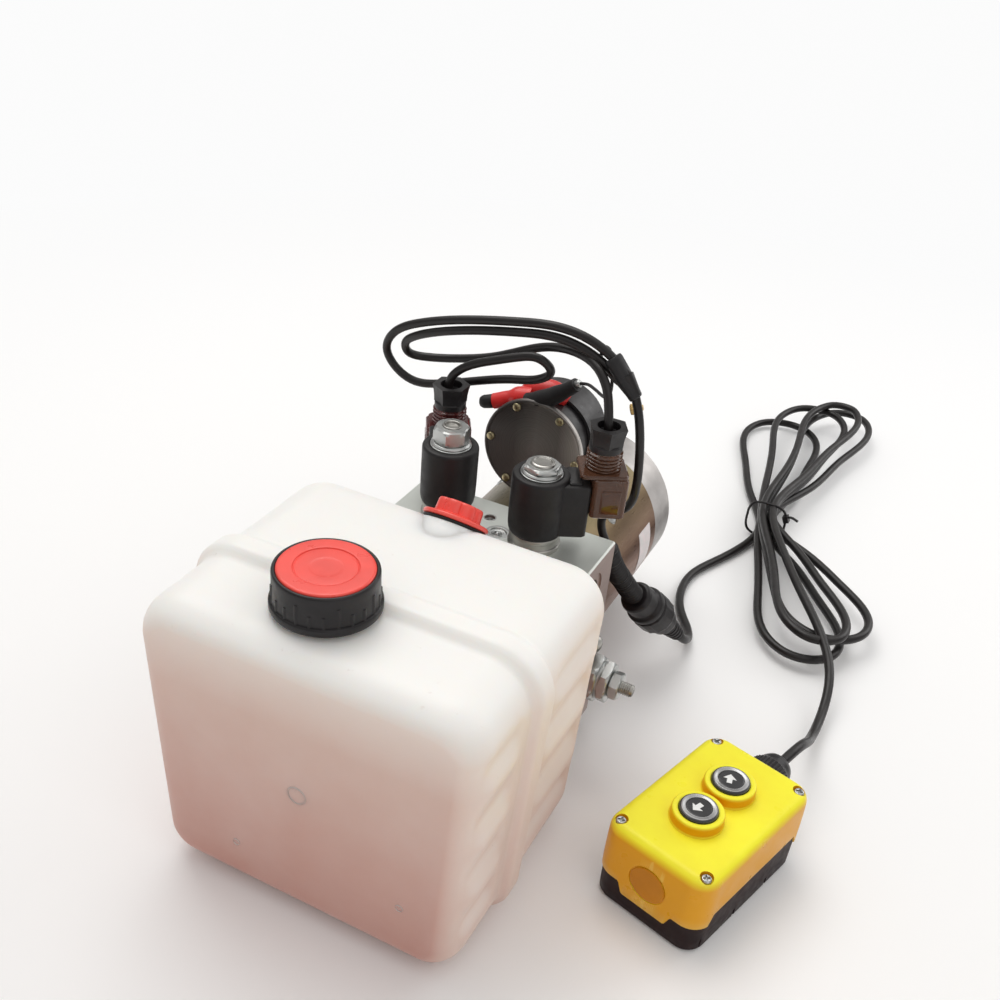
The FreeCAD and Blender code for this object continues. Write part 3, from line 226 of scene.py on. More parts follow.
def disc_finish(centre, reach=0.032):
    """Spun sheet steel: fine rings about the centre, under a painted reflection that sweeps from dark to
    beige across it.
    """
    made, tree, shader = node_tree("disc_steel")
    place = add(tree, "TexCoord").outputs["Object"]
    offset = add(tree, "VectorMath", operation="SUBTRACT")
    tree.links.new(place, offset.inputs[0])
    offset.inputs[1].default_value = centre
    flat = add(tree, "VectorMath", operation="MULTIPLY")
    tree.links.new(offset.outputs[0], flat.inputs[0])
    flat.inputs[1].default_value = (1, 0, 1)
    length = add(tree, "VectorMath", operation="LENGTH", Vector=flat.outputs[0])
    rings = add(tree, "TexNoise", noise_dimensions="1D", Scale=2600,
                W=length.outputs["Value"]).outputs["Fac"]
    # painted reflection: the steel's colour sweeps from dark on the left to beige on the right
    across = remap(tree, component(tree, offset.outputs[0], "X"), (-reach, reach))
    painted_reflection_sweep = ramp(tree, across, [
        (0, (0.09, 0.083, 0.08)),
        (0.3, (0.15, 0.14, 0.135)),
        (0.52, (0.30, 0.285, 0.27)),
        (0.75, (0.24, 0.225, 0.215)),
        (0.95, (0.52, 0.49, 0.46)),
    ])
    streak = spread(tree, rings, 0.75, 1.1)
    streaks = add(tree, "CombineColor", Red=streak, Green=streak, Blue=streak).outputs[0]
    feed(tree, shader, Base_Color=mix(tree, 1, painted_reflection_sweep, streaks, "MULTIPLY"), Metallic=0.85,
         Roughness=spread(tree, rings, 0.28, 0.42))
    bumped(tree, shader, rings, 0.02, 0.6)
    return made


def smoked_finish(name, colour):
    """Tinted clear plastic, with a painted sheen that lightens it at its rims."""
    made, tree, shader = node_tree(name)
    place = coords(tree)
    out = ramp(tree, noise(tree, place, 120), [(0.3, tuple(c * 0.75 for c in colour)), (0.7, colour)])
    # painted sheen: faces seen edge-on are lightened
    rim = add(tree, "LayerWeight", Blend=0.35).outputs["Facing"]
    out = mix(tree, rim, out, tuple(min(1, c * 1.9 + 0.06) for c in colour))
    feed(tree, shader, Base_Color=out, Roughness=0.12, Transmission_Weight=0.55, IOR=1.5)
    bumped(tree, shader, noise(tree, place, 500, 2), 0.01)
    return made


def yoke_finish():
    """Yellow-passivated zinc on drawn steel: olive and gold clouds on satin metal, with a painted reddish
    reflection underneath.
    """
    made, tree, shader = node_tree("motor_steel")
    clouds = ramp(tree, noise(tree, coords(tree, (1, 0.5, 1)), 26, 4), [
        (0.25, (0.085, 0.070, 0.036)),
        (0.45, (0.14, 0.113, 0.056)),
        (0.6, (0.19, 0.152, 0.080)),
        (0.8, (0.27, 0.22, 0.13)),
    ])
    lift = component(tree, add(tree, "NewGeometry").outputs["Normal"], "Z")
    # painted red reflection: faces that look down turn reddish
    painted_red_reflection = ramp(tree, lift, [(0, grey(0.6)), (0.4, grey(0.3)), (0.85, BLACK)])
    fine = noise(tree, coords(tree, (1, 0.08, 1)), 1300)
    feed(tree, shader, Base_Color=mix(tree, painted_red_reflection, clouds, (0.34, 0.13, 0.085)), Metallic=0.9,
         Roughness=spread(tree, fine, 0.26, 0.4))
    bumped(tree, shader, fine, 0.012)
    return made


MATT_BLACK = dict(vary=0.2, specular=0.35)
PLATED = dict(metal=1, rough_vary=0.05, grain=1100, depth=0.0015)
POLISHED = dict(metal=1, grain=1100, depth=0.002)
SURFACES = {
    "black_plastic": ((0.012, 0.010, 0.011), 0.36,
        dict(MATT_BLACK, grain=1400, depth=0.03, wear=0.2, wear_colour=grey(0.05))),
    "coil_black": ((0.011, 0.010, 0.011), 0.5,
        dict(MATT_BLACK, patch=80, grain=420, depth=0.05, wear=0.2, wear_colour=grey(0.04), dust=0.03)),
    "black_rubber": ((0.012, 0.011, 0.012), 0.5, dict(MATT_BLACK, grain=1100, depth=0.04)),
    "cable_pvc": ((0.010, 0.008, 0.008), 0.36,
        dict(vary=0.25, patch=60, rough_vary=0.07, grain=700, depth=0.03, dust=0.015, specular=0.4)),
    "black_metal": ((0.018, 0.016, 0.017), 0.34,
        dict(metal=0.2, vary=0.25, depth=0.01, wear=0.15, wear_colour=grey(0.12))),
    "maroon_plastic": ((0.016, 0.0045, 0.005), 0.5,
        dict(specular=0.2, vary=0.2, grain=1400, depth=0.03, wear=0.2, wear_colour=(0.04, 0.02, 0.02))),
    "red_plastic": ((0.90, 0.075, 0.055), 0.34,
        dict(vary=0.06, patch=50, grain=1800, coat=0.1, wear=0.2, wear_colour=(1, 0.33, 0.28))),
    "boot_rubber": ((0.72, 0.022, 0.02), 0.36, dict(vary=0.12, patch=60, depth=0.04, coat=0.15)),
    # the yellow cover's sides take a painted shade of orange
    "yellow_plastic": ((1, 0.90, 0.035), 0.34,
        dict(side=(0.80, 0.36, 0.002), specular=0.3, vary=0.05, patch=40, grain=1500, depth=0.03,
             wear=0.25, wear_colour=(1, 0.9, 0.25))),
    # painted shade: a darker copy of the yellow plastic for the recessed knockout
    "yellow_recess_painted_shade": ((0.60, 0.22, 0.002), 0.4,
        dict(specular=0.25, vary=0.08, patch=60, grain=1500, depth=0.03)),
    "button_plastic": ((0.03, 0.03, 0.032), 0.24, dict(vary=0.2, grain=1500, depth=0.015, coat=0.2)),
    "button_ring": (grey(0.45), 0.3, dict(metal=0.8, vary=0.15, grain=1500, depth=0.012)),
    "button_mark": ((0.86, 0.87, 0.86), 0.4, dict(vary=0.05, grain=1200, depth=0.01)),
    "label": ((0.86, 0.83, 0.82), 0.45,
        dict(vary=0.05, patch=160, grain=1200, depth=0.01, tint=(0.9, 0.80, 0.80))),
    "zinc_steel": ((0.50, 0.51, 0.50), 0.33, dict(PLATED, patch=70)),
    "bare_steel": ((0.42, 0.41, 0.385), 0.34, dict(PLATED, vary=0.12, patch=80)),
    "spring_steel": ((0.36, 0.36, 0.37), 0.28, POLISHED),
    "rivet_steel": ((0.44, 0.38, 0.23), 0.34, dict(POLISHED, vary=0.15, patch=200)),
    "copper": ((0.78, 0.36, 0.2), 0.28, POLISHED),
    "brass": ((0.70, 0.49, 0.20), 0.3, dict(POLISHED, vary=0.12)),
    # the block's sides take painted shade with a painted reddish reflection
    "aluminium_block": ((0.69, 0.72, 0.68), 0.38,
        dict(metal=0.6, vary=0.05, patch=45, grain=1100, depth=0.003, side=(0.36, 0.27, 0.245),
             stretch=(1, 0.12, 1))),
    "pump_aluminium": ((0.66, 0.66, 0.65), 0.42, dict(metal=0.9, grain=700, depth=0.05)),
    "cast_aluminium": ((0.50, 0.475, 0.46), 0.4, dict(metal=0.85, patch=70, grain=520)),
    "ferrite": ((0.07, 0.07, 0.075), 0.6, dict(vary=0.2, grain=700, depth=0.05)),
    "carbon": ((0.04, 0.04, 0.045), 0.5, dict(vary=0.2, depth=0.03)),
}

M = {name: surface(name, colour, rough, **details) for name, (colour, rough, details) in SURFACES.items()}
M["tank_plastic"] = tank_finish()
M["motor_steel"] = yoke_finish()
M["disc_steel"] = disc_finish(at(*CONTACTOR))
M["smoked_plastic"] = smoked_finish("smoked_plastic", (0.15, 0.055, 0.022))
M["smoked_red"] = smoked_finish("smoked_red", (0.14, 0.022, 0.02))


# ---------------------------------------------------------------- pieces

def piece(name, shape, finish, replaces="", body="power_unit", crease=32):
    """A named mesh piece in the model's frame: shaded, finished, and riding on a CAD body.

    replaces is the CAD node it stands for.
    """
    verts, faces = shape
    mesh = bpy.data.meshes.new(name)
    mesh.from_pydata([tuple(v) for v in verts], [], faces)
    work = bmesh.new()
    work.from_mesh(mesh)
    bmesh.ops.remove_doubles(work, verts=work.verts, dist=1e-6)
    bmesh.ops.recalc_face_normals(work, faces=work.faces)
    for face in work.faces:
        face.smooth = True
    for line in work.edges:
        if len(line.link_faces) == 2 and line.calc_face_angle() > math.radians(crease):
            line.smooth = False
    work.to_mesh(mesh)
    work.free()
    item = bpy.data.objects.new(name, mesh)
    bpy.context.scene.collection.objects.link(item)
    mesh.materials.append(M[finish])
    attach(item, body)
    if replaces:
        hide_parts(replaces)
    return item


def carve(item, cutter_shape):
    """Cuts a closed shape out of a piece, once and for all."""
    mesh = bpy.data.meshes.new("cutter")
    mesh.from_pydata([tuple(v) for v in cutter_shape[0]], [], cutter_shape[1])
    work = bmesh.new()
    work.from_mesh(mesh)
    bmesh.ops.recalc_face_normals(work, faces=work.faces)
    work.to_mesh(mesh)
    work.free()
    cutter = bpy.data.objects.new("cutter", mesh)
    bpy.context.scene.collection.objects.link(cutter)
    change = item.modifiers.new("cut", "BOOLEAN")
    change.object = cutter
    change.operation = "DIFFERENCE"
    change.solver = "EXACT"
    bpy.context.view_layer.update()
    done = bpy.data.meshes.new_from_object(item.evaluated_get(bpy.context.evaluated_depsgraph_get()))
    item.modifiers.remove(change)
    item.data = done
    bpy.data.objects.remove(cutter)


# ---------------------------------------------------------------- shapes: (points, faces) in millimetres

def joined(*shapes):
    """Several shapes as one."""
    verts, faces = [], []
    for more_verts, more_faces in shapes:
        start = len(verts)
        verts += list(more_verts)
        faces += [tuple(i + start for i in face) for face in more_faces]
    return verts, faces


def placed(shape, origin, axis=(0, 0, 1), roll=0, turn=None):
    """A shape rolled about its own +Z, then turned to an axis or by a rotation, at a place."""
    verts, faces = shape
    rotation = turn or (Quaternion() if tuple(axis) == (0, 0, 1) else Vector(axis).to_track_quat("Z", "Y"))
    spin = Quaternion((0, 0, 1), roll)
    return [rotation @ (spin @ (Vector(v) * MM)) + Vector(origin) for v in verts], faces


def drawn(shape):
    """A shape in drawing millimetres, taken to the model's frame."""
    verts, faces = shape
    return [at(*v) for v in verts], faces


def shifted(shape, x, y, turn=0):
    """A shape turned about its own Z, then moved sideways."""
    verts, faces = shape
    spin = Quaternion((0, 0, 1), turn)
    return [spin @ Vector(v) + Vector((x, y, 0)) for v in verts], faces


def stretched(shape, wide, long):
    verts, faces = shape
    return [(x * wide, y * long, z) for x, y, z in verts], faces


def lathe(profile, segments=64, ripple=None):
    """A solid of revolution; ripple(angle, radius, height) may change the radius."""
    verts, faces, rows = [], [], []
    for radius, height in profile:
        if radius < 1e-6:
            rows.append([len(verts)])
            verts.append((0, 0, height))
            continue
        rows.append(list(range(len(verts), len(verts) + segments)))
        for index in range(segments):
            angle = TAU * index / segments
            out = ripple(angle, radius, height) if ripple else radius
            verts.append((out * math.cos(angle), out * math.sin(angle), height))
    pairs = list(zip(rows, rows[1:]))
    if len(rows[0]) > 1 and len(rows[-1]) > 1:
        pairs.append((rows[-1], rows[0]))
    for low, high in pairs:
        if len(low) == 1 and len(high) == 1:
            continue
        for index in range(segments):
            after = (index + 1) % segments
            if len(low) == 1:
                faces.append((low[0], high[after], high[index]))
            elif len(high) == 1:
                faces.append((low[index], low[after], high[0]))
            else:
                faces.append((low[index], low[after], high[after], high[index]))
    return verts, faces


def eased(points, radius, steps=4):
    """Rounds the inner corners of an open profile."""
    out = [points[0]]
    for before, corner, after in zip(points, points[1:], points[2:]):
        corner = Vector(corner)
        back, ahead = Vector(before) - corner, Vector(after) - corner
        reach = min(radius, back.length * 0.45, ahead.length * 0.45)
        if reach < 1e-4:
            out.append(tuple(corner))
            continue
        start, end = corner + back.normalized() * reach, corner + ahead.normalized() * reach
        for step in range(steps + 1):
            t = step / steps
            out.append(tuple(start * (1 - t) ** 2 + corner * 2 * t * (1 - t) + end * t * t))
    return out + [points[-1]]


def turned(profile, rounding, segments=64, ripple=None):
    """A lathed solid with rounded corners."""
    return lathe(eased(profile, rounding), segments, ripple)


def hex_ripple(across, low, high, chamfer=0.9):
    """The radius of a hexagon whose corners are turned down at both ends."""
    half = across / 2
    corner = half / math.cos(math.pi / 6)

    def ripple(angle, radius, height):
        if radius <= half * 0.9:
            return radius
        around = (angle + math.pi / 6) % (math.pi / 3) - math.pi / 6
        drop = min(height - low, high - height)
        limit = corner - max(0, chamfer - drop) * 1.7
        return min(half / math.cos(around), max(limit, half * 0.93))
    return ripple


def hex_nut(across, low, high, hole, chamfer, rings=10):
    """A chamfered hexagon between two heights, with a hole."""
    middle, reach = (high + low) / 2, (high - low) / 2
    outer = [(across / 2, middle - reach * math.cos(math.pi * i / rings)) for i in range(rings + 1)]
    return lathe([(hole, low)] + outer + [(hole, high)], 96, hex_ripple(across, low, high, chamfer))


def skin(rings):
    """A closed skin over rings of equal length, with flat ends."""
    count = len(rings[0])
    verts = [point for ring in rings for point in ring]
    faces = [tuple(reversed(range(count)))]
    for level in range(len(rings) - 1):
        a, b = level * count, (level + 1) * count
        faces += [(a + i, a + (i + 1) % count, b + (i + 1) % count, b + i) for i in range(count)]
    last = (len(rings) - 1) * count
    faces.append(tuple(range(last, last + count)))
    return verts, faces


def rounded_outline(wide, long, radius, steps=8):
    """A rectangle with rounded corners, as a list of its four corner arcs."""
    arcs = []
    for corner, (sx, sy) in enumerate(((1, 1), (-1, 1), (-1, -1), (1, -1))):
        x, y = sx * (wide / 2 - radius), sy * (long / 2 - radius)
        angles = [math.pi / 2 * (corner + step / steps) for step in range(steps + 1)]
        arcs.append([(x + radius * math.cos(angle), y + radius * math.sin(angle)) for angle in angles])
    return arcs


def slab(wide, long, radius, layers, shift=0):
    """Rounded rectangles stacked at (inset, height), their middle shifted along local X."""
    rings = []
    for inset, height in layers:
        arcs = rounded_outline(wide - 2 * inset, long - 2 * inset, radius)
        rings.append([(x + shift, y, height) for arc in arcs for x, y in arc])
    return skin(rings)


def box_shape(size, centre):
    (wide, long, high), (x, y, z) = size, centre
    corners = [(-wide / 2, -long / 2), (wide / 2, -long / 2), (wide / 2, long / 2), (-wide / 2, long / 2)]
    return skin([[(x + dx, y + dy, z + dz) for dx, dy in corners] for dz in (-high / 2, high / 2)])


def between(first, last, start, end, t):
    """The point between two others that a time between start and end falls on."""
    return first * ((end - t) / (end - start)) + last * ((t - start) / (end - start))


def smooth_path(points, step=1):
    """A centripetal Catmull-Rom curve through the points, sampled about every step millimetres."""
    points = [Vector(p) for p in points]
    ends = [points[0] * 2 - points[1]] + points + [points[-1] * 2 - points[-2]]
    out = []
    for p0, p1, p2, p3 in zip(ends, ends[1:], ends[2:], ends[3:]):
        knots = [0.0]
        for a, b in ((p0, p1), (p1, p2), (p2, p3)):
            knots.append(knots[-1] + max((b - a).length, 1e-4) ** 0.5)
        t0, t1, t2, t3 = knots
        count = max(2, int((p2 - p1).length / step))
        for index in range(count):
            t = t1 + (t2 - t1) * index / count
            a, b, c = between(p0, p1, t0, t1, t), between(p1, p2, t1, t2, t), between(p2, p3, t2, t3, t)
            out.append(between(between(a, b, t0, t2, t), between(b, c, t1, t3, t), t1, t2, t))
    return out + [points[-1]]


def pipe(path, radius, sides=16, closed=False):
    """A tube along a path; radius may be a number or a function of the distance along it."""
    count = len(path)
    tangents = []
    for index in range(count):
        before = path[index - 1] if index or closed else path[0]
        after = path[(index + 1) % count] if index + 1 < count or closed else path[-1]
        tangents.append((after - before).normalized())
    side = tangents[0].orthogonal().normalized()
    gone = 0.0
    rings = []
    for index, (point, tangent) in enumerate(zip(path, tangents)):
        if index:
            side = tangents[index - 1].rotation_difference(tangent) @ side
            side = (side - tangent * side.dot(tangent)).normalized()
            gone += (point - path[index - 1]).length
        other = tangent.cross(side)
        size = radius(gone) if callable(radius) else radius
        angles = [TAU * step / sides for step in range(sides)]
        rings.append([point + (side * math.cos(a) + other * math.sin(a)) * size for a in angles])
    verts, faces = skin(rings)
    if closed:
        last = (count - 1) * sides
        faces = faces[1:-1] + [(last + i, last + (i + 1) % sides, (i + 1) % sides, i) for i in range(sides)]
    return verts, faces


def ease(value):
    """A soft step from 0 to 1."""
    value = max(0, min(1, value))
    return value * value * (3 - 2 * value)


# ---------------------------------------------------------------- reservoir

TANK_X, TANK_LOW, TANK_TOP = 3, 5, 174
TANK_FRONT, TANK_REAR = -227, -75
BAND_FRONT, BAND_REAR = -176, -155
BAND_HEIGHT = 4.6
NECK_X, NECK_Z = 7, 75
LEAN = math.radians(40)
BREATHER_AXIS = Vector((0, math.sin(LEAN), math.cos(LEAN)))


def corner_arc(before, corner, after, steps=12):
    """Points and outward directions round one corner, given as (x, z, radius)."""
    here = Vector(corner[:2])
    back = (Vector(before[:2]) - here).normalized()
    ahead = (Vector(after[:2]) - here).normalized()
    half = back.angle(ahead) / 2
    centre = here + (back + ahead).normalized() * (corner[2] / math.sin(half))
    opening = here + back * (corner[2] / math.tan(half)) - centre
    swing = (math.pi - 2 * half) / steps
    arc = []
    for step in range(steps + 1):
        c, s = math.cos(swing * step), math.sin(swing * step)
        spoke = Vector((opening.x * c - opening.y * s, opening.x * s + opening.y * c))
        arc.append((centre + spoke, spoke.normalized()))
    return arc


def tank_section():
    """Points and outward directions round the reservoir's section, in the plane across the shaft."""
    corners = [(-89, TANK_LOW, 20), (89, TANK_LOW, 20), (96, TANK_TOP, 24), (-96, TANK_TOP, 24)]
    arcs = [corner_arc(corners[i - 1], corners[i], corners[(i + 1) % 4]) for i in range(4)]
    out = []
    for index, arc in enumerate(arcs):
        start, end = arc[-1][0], arcs[(index + 1) % 4][0][0]
        along = (end - start).normalized()
        outward = Vector((along.y, -along.x))
        count = (30, 44)[index % 2]
        out += arc
        out += [(start + (end - start) * step / count, outward) for step in range(1, count)]
    return out


def band_height(y):
    """The raised band round the reservoir, with soft shoulders."""
    return BAND_HEIGHT * ease((y - BAND_FRONT + 1) / 7) * ease((BAND_REAR + 1 - y) / 7)


def side_ribs(y, z, outward):
    """Shallow level ribs moulded into the reservoir's two sides, in front of the band and behind it."""
    facing = max(0, abs(outward.x) - 0.75) / 0.25
    level = ease((z - 20) / 18) * ease((158 - z) / 14)
    wave = math.cos(TAU * (z - 24) / 36)
    wave = wave * abs(wave) ** 0.25 if wave < 0 else wave ** 1.4
    behind = ease((y - BAND_REAR - 4) / 10) * ease((TANK_REAR - 12 - y) / 12)
    before = ease((BAND_FRONT - 5 - y) / 10) * ease((y - TANK_FRONT - 4) / 12)
    return facing * level * (wave - 0.25) * (2.6 * behind + 2.4 * before)


def tank_stations():
    """Places along the reservoir, each with how far its section is drawn in by the rounded ends."""
    front_depth, front_draw, rear_depth, rear_draw = 17, 13, 18, 16
    quarter = math.pi / 2
    stations = []
    for step in range(9):
        angle = quarter * step / 9
        stations.append((TANK_FRONT + front_depth * (1 - math.cos(angle)),
                         front_draw * (1 - math.sin(angle))))
    y = TANK_FRONT + front_depth
    while y < TANK_REAR - rear_depth:
        stations.append((y, 0))
        y += 1.6 if BAND_FRONT - 8 < y < BAND_REAR + 8 else 3.0
    for step in range(9):
        angle = quarter * step / 8
        y = TANK_REAR - rear_depth + rear_depth * math.sin(angle)
        stations.append((y, rear_draw * (1 - math.cos(angle))))
    return stations


def tank_ring(section, y, draw, share=1, push=0):
    """The reservoir's outline at one station; a share below 1 is a smaller ring on its end face."""
    centre = Vector((0, (TANK_LOW + TANK_TOP) / 2))
    ring = []
    for point, outward in section:
        rise = -draw
        if share == 1.0:
            rise += band_height(y) + side_ribs(y, point.y, outward)
        place = centre + (point + outward * rise - centre) * share
        ring.append(at(place.x + TANK_X, y + push, place.y))
    return ring


def tank_skin():
    section = tank_section()
    stations = tank_stations()
    bulge = 0.55
    rings = []
    for share in (0.12, 0.35, 0.6, 0.82, 0.94):
        rings.append(tank_ring(section, *stations[0], share, 0.05 + bulge * share ** 2))
    rings += [tank_ring(section, y, draw) for y, draw in stations]
    rings += [tank_ring(section, *stations[-1], share) for share in (0.9, 0.7, 0.4, 0.12)]
    return skin(rings)


def build_tank():
    boss = turned([(0, 168), (22.8, 168), (22.8, 174), (22.6, 178), (22, 179), (20.8, 180.5), (20.8, 193.2),
                   (17.2, 193.2), (17.2, 180), (0, 180)], 2.2, 72)
    seat = turned([(0, -12), (24, -12), (21, -6.5), (18.6, -3), (17.6, -0.2), (8.2, -0.2), (8.2, -8),
                   (0, -8)], 1.4, 56)
    neck = turned([(43.5, -80), (47, -80), (47, -64.5), (43.5, -64.5)], 1, 72)
    flange = slab(122, 122, 9, ((1, 0), (0, 0.8), (0, 5.2), (1, 6)))
    large_mark = lathe([(4.2, -0.5), (4.5, 0.35), (5, 0.45), (5.5, 0.35), (5.8, -0.5)], 48)
    small_mark = lathe([(1.6, -0.5), (1.8, 0.22), (2.2, 0.22), (2.4, -0.5)], 28)
    shape = joined(
        tank_skin(),
        placed(boss, at(*FILLER, 0)),
        placed(seat, at(*BREATHER), BREATHER_AXIS),
        placed(neck, at(NECK_X, 0, NECK_Z), turn=Z_TO_Y),
        placed(flange, at(NECK_X, -68, NECK_Z), turn=Z_TO_Y),
        placed(large_mark, at(3, TANK_FRONT + 0.3, 91), FRONTWARDS),
        placed(small_mark, at(-36, TANK_FRONT + 0.3, 36), FRONTWARDS),
        placed(small_mark, at(62, TANK_FRONT + 0.3, 45), FRONTWARDS),
    )
    piece("tank", shape, "tank_plastic", "tank_shell", crease=60)


# ---------------------------------------------------------------- filler cap and breather

CAP_LOW = 176.6


def cap_teeth(angle, radius, level):
    """Twenty-four thin ribs on the cap's skirt, every third one longer."""
    count = 24
    place = angle * count / TAU
    reach = 191.0 if int(place) % 3 == 0 else 186.8
    if radius < 24.5 or not CAP_LOW + 4.2 <= level <= reach or place % 1.0 >= 0.12:
        return radius
    return radius + 0.5


def breather_flutes(angle, radius, level):
    if level < 4.9 or radius < 9:
        return radius
    return radius - 1.25 * (1 - abs(math.cos(angle * 4)) ** 0.7) - 0.25


def build_caps():
    skirt = lathe([(23.4, CAP_LOW), (26.5, CAP_LOW), (27, CAP_LOW + 0.6), (27, CAP_LOW + 3.4),
                   (26.6, CAP_LOW + 4), (25.7, CAP_LOW + 4.3), (25.6, 184.5), (25.5, 186.7), (25.5, 186.9),
                   (25.45, 189), (25.4, 190.9), (25.4, 191.1), (25.4, 193), (25.4, 195.4), (25.2, 196.4),
                   (24.7, 196.9), (24, 197), (23.6, 196.8), (23.4, 196.2), (23.4, 195.4), (0, 195.4),
                   (0, 194.9), (23.4, 194.9), (23.2, 194), (23.2, 186)], 240, cap_teeth)
    disc = turned([(0, 195.45), (23.3, 195.45), (23.3, 196.9), (22.8, 197.5), (22, 197.7), (15.9, 197.75),
                   (15.5, 197.6), (15.4, 197.1), (15.1, 196.95), (14.8, 197.05), (14.6, 197.2), (8.2, 197.2),
                   (7.4, 197.1), (6, 197.05), (0, 197.05)], 0.45, 96)
    top = at(*FILLER, 0)
    piece("filler_cap_skirt", placed(skirt, top), "black_plastic", "filler_cap", "filler_cap", crease=40)
    piece("filler_cap_top", placed(disc, top), "red_plastic", "filler_cap_disc", "filler_cap", crease=50)

    plug = lathe([(0, -8.5), (7.8, -8.5), (7.8, 1.6), (17.6, 1.6), (18.3, 2), (18.5, 2.6), (18.4, 3.5),
                  (17.8, 4.1), (15, 4.5), (13.9, 4.8), (13.6, 5.2), (13.5, 7), (13.4, 9), (13.3, 11),
                  (12.9, 11.9), (12.2, 12.3), (10.5, 12.4), (9.4, 12), (8.8, 11.2), (0, 11)], 160,
                 breather_flutes)
    seal = turned([(8, 0), (17.3, 0), (17.9, 0.8), (17.3, 1.6), (8, 1.6)], 0.4)
    seat = at(*BREATHER)
    piece("breather", placed(plug, seat, BREATHER_AXIS), "red_plastic", "breather_plug", "breather_plug",
          crease=40)
    piece("breather_ring", placed(seal, seat, BREATHER_AXIS), "black_rubber", "breather_seal",
          "breather_plug")


# ---------------------------------------------------------------- solenoid valves

VALVES = {"raise": (-26, -28, 120), "lower": (31, -28, 30)}
PLUG_RISE = {"raise": -4, "lower": 5}
PLUG_REACH = 33


def coil_shape():
    """The moulded coil with the lug that carries its plug."""
    body = turned([(7.2, 148.3), (14.6, 148.3), (15.6, 149.6), (16.1, 152.5), (16.3, 160), (16.3, 183.2),
                   (15.7, 184.6), (14.3, 185), (12.6, 185), (12.1, 184.5), (7.2, 184.4)], 0.8, 96)
    lug = slab(26.6, 23.6, 2, ((0.8, 150.4), (0, 151.4), (0, 181.4), (0.5, 182.2), (1.2, 182.5)), 13.6)
    step = slab(7, 19, 1.2, ((0, 182), (0, 183.5), (0.5, 184)), 18.2)
    bar = slab(6, 8, 1, ((0, 182), (0, 184.2), (0.4, 184.7)), 11.5)
    return joined(body, lug, step, bar)


def coil_nut_shape(tall):
    washer = turned([(7.15, 184.5), (11.9, 184.5), (11.9, 185.2), (11.4, 185.5), (7.15, 185.5)], 0.2)
    flange = turned([(7.1, 185.5), (11.3, 185.5), (11.5, 186.2), (10.4, 187.2), (7.1, 187.2)], 0.3)
    top, hole = (196.4, 5.7) if tall else (190.6, 7.05)
    return joined(washer, flange, hex_nut(18.6, 186.6, top, hole, 1.5))


def stem_shape(tall):
    """The valve's domed end above the nut, and its body below the coil."""
    if tall:
        end = [(0, 186), (5.6, 186), (5.6, 196.6), (5.2, 197.2), (4.6, 197.3), (4.1, 197), (3.8, 195.6),
               (0, 195.4)]
    else:
        end = [(0, 186), (7, 186), (7, 190.8), (6.7, 191.5), (5.6, 192), (5, 191.8), (4.7, 191.3),
               (0, 191.2)]
    base = [(0, 139), (15.2, 139), (15.2, 141.4), (14.6, 142), (14, 142.2), (14, 145.2), (14.7, 145.6),
            (14.7, 148.2), (0, 148.2)]
    return joined(turned(end, 0.35), turned(base, 0.5, 96))


def plug_shape():
    """The clear plug's case, its raised window, and the threaded neck on its top."""
    case = slab(19.4, 26.8, 2.2, ((0.9, 159.2), (0.1, 160), (0, 170), (0, 182.2), (0.5, 182.9),
                                  (1.2, 183.2)), 36.8)
    window = slab(12, 27.6, 1.6, ((0.4, 162), (0, 162.8), (0, 176.5), (0.4, 177.4)), 37.4)
    collar = slab(26.6, 24, 3, ((0.4, 182.8), (0, 183.1), (0, 184.6), (0.6, 185.2)), PLUG_REACH)
    thread = [(0, 182.6), (10.6, 182.6), (10.6, 184.4), (9.3, 184.9)]
    for turn in range(5):
        level = 185.3 + 2.15 * turn
        thread += [(9, level), (9.9, level + 0.55), (9.9, level + 1.15), (9, level + 1.75)]
    thread += [(8.9, 196.8), (6.4, 196.8), (6.4, 188), (0, 188)]
    return joined(case, window, collar, shifted(lathe(thread, 72), PLUG_REACH, 0))


def gland_shape():
    """A hexagonal gland nut that flares upwards, hollow for its lead."""
    ring = turned([(6, 196.2), (9.3, 196.2), (9.3, 199.6), (8.6, 200.2), (6, 200.2)], 0.3)
    flare = [(8.3, 199.6), (8.5, 203.5), (8.9, 206.5), (9.4, 209), (9.55, 210)]
    hollow = [(6.4, 209.9), (5.9, 206), (3.6, 203), (3.6, 199.6)]

    def hexagon(angle, radius, height):
        if radius < flare[0][0]:
            return radius
        return hex_ripple(2 * radius, 190, 220)(angle, radius, height)
    return joined(ring, lathe(flare + hollow, 72, hexagon))


def build_valve(name):
    """One valve; returns its gland nut, which shares a node with the other valve's."""
    x, y, yaw = VALVES[name]
    roll = math.radians(yaw)
    tall = name == "raise"
    here = at(x, y, 0)
    seated = at(x, y, PLUG_RISE[name])
    piece(f"{name}_coil_body", placed(coil_shape(), here, roll=roll), "coil_black", f"{name}_coil",
          crease=38)
    nut = placed(coil_nut_shape(tall), here, roll=math.radians(10))
    piece(f"{name}_nut", nut, "zinc_steel", f"{name}_coil_nut", crease=22)
    piece(f"{name}_stem", placed(stem_shape(tall), here), "bare_steel", f"{name}_valve_body", crease=35)
    piece(f"{name}_plug_body", placed(plug_shape(), seated, roll=roll),
          "smoked_red" if tall else "smoked_plastic", f"{name}_plug", crease=30)
    terminals = slab(12, 20, 2, ((0, 162.5), (0, 178.5)), 34.5)
    piece(f"{name}_plug_terminals", placed(terminals, seated, roll=roll), "black_plastic")
    reach = Vector((math.cos(roll), math.sin(roll))) * PLUG_REACH
    return placed(gland_shape(), at(x + reach.x, y + reach.y, PLUG_RISE[name]), roll=roll)


def build_valves():
    glands = [build_valve(name) for name in VALVES]
    piece("plug_gland_nuts", joined(*glands), "black_plastic", "gland_nuts", crease=28)


# ---------------------------------------------------------------- manifold

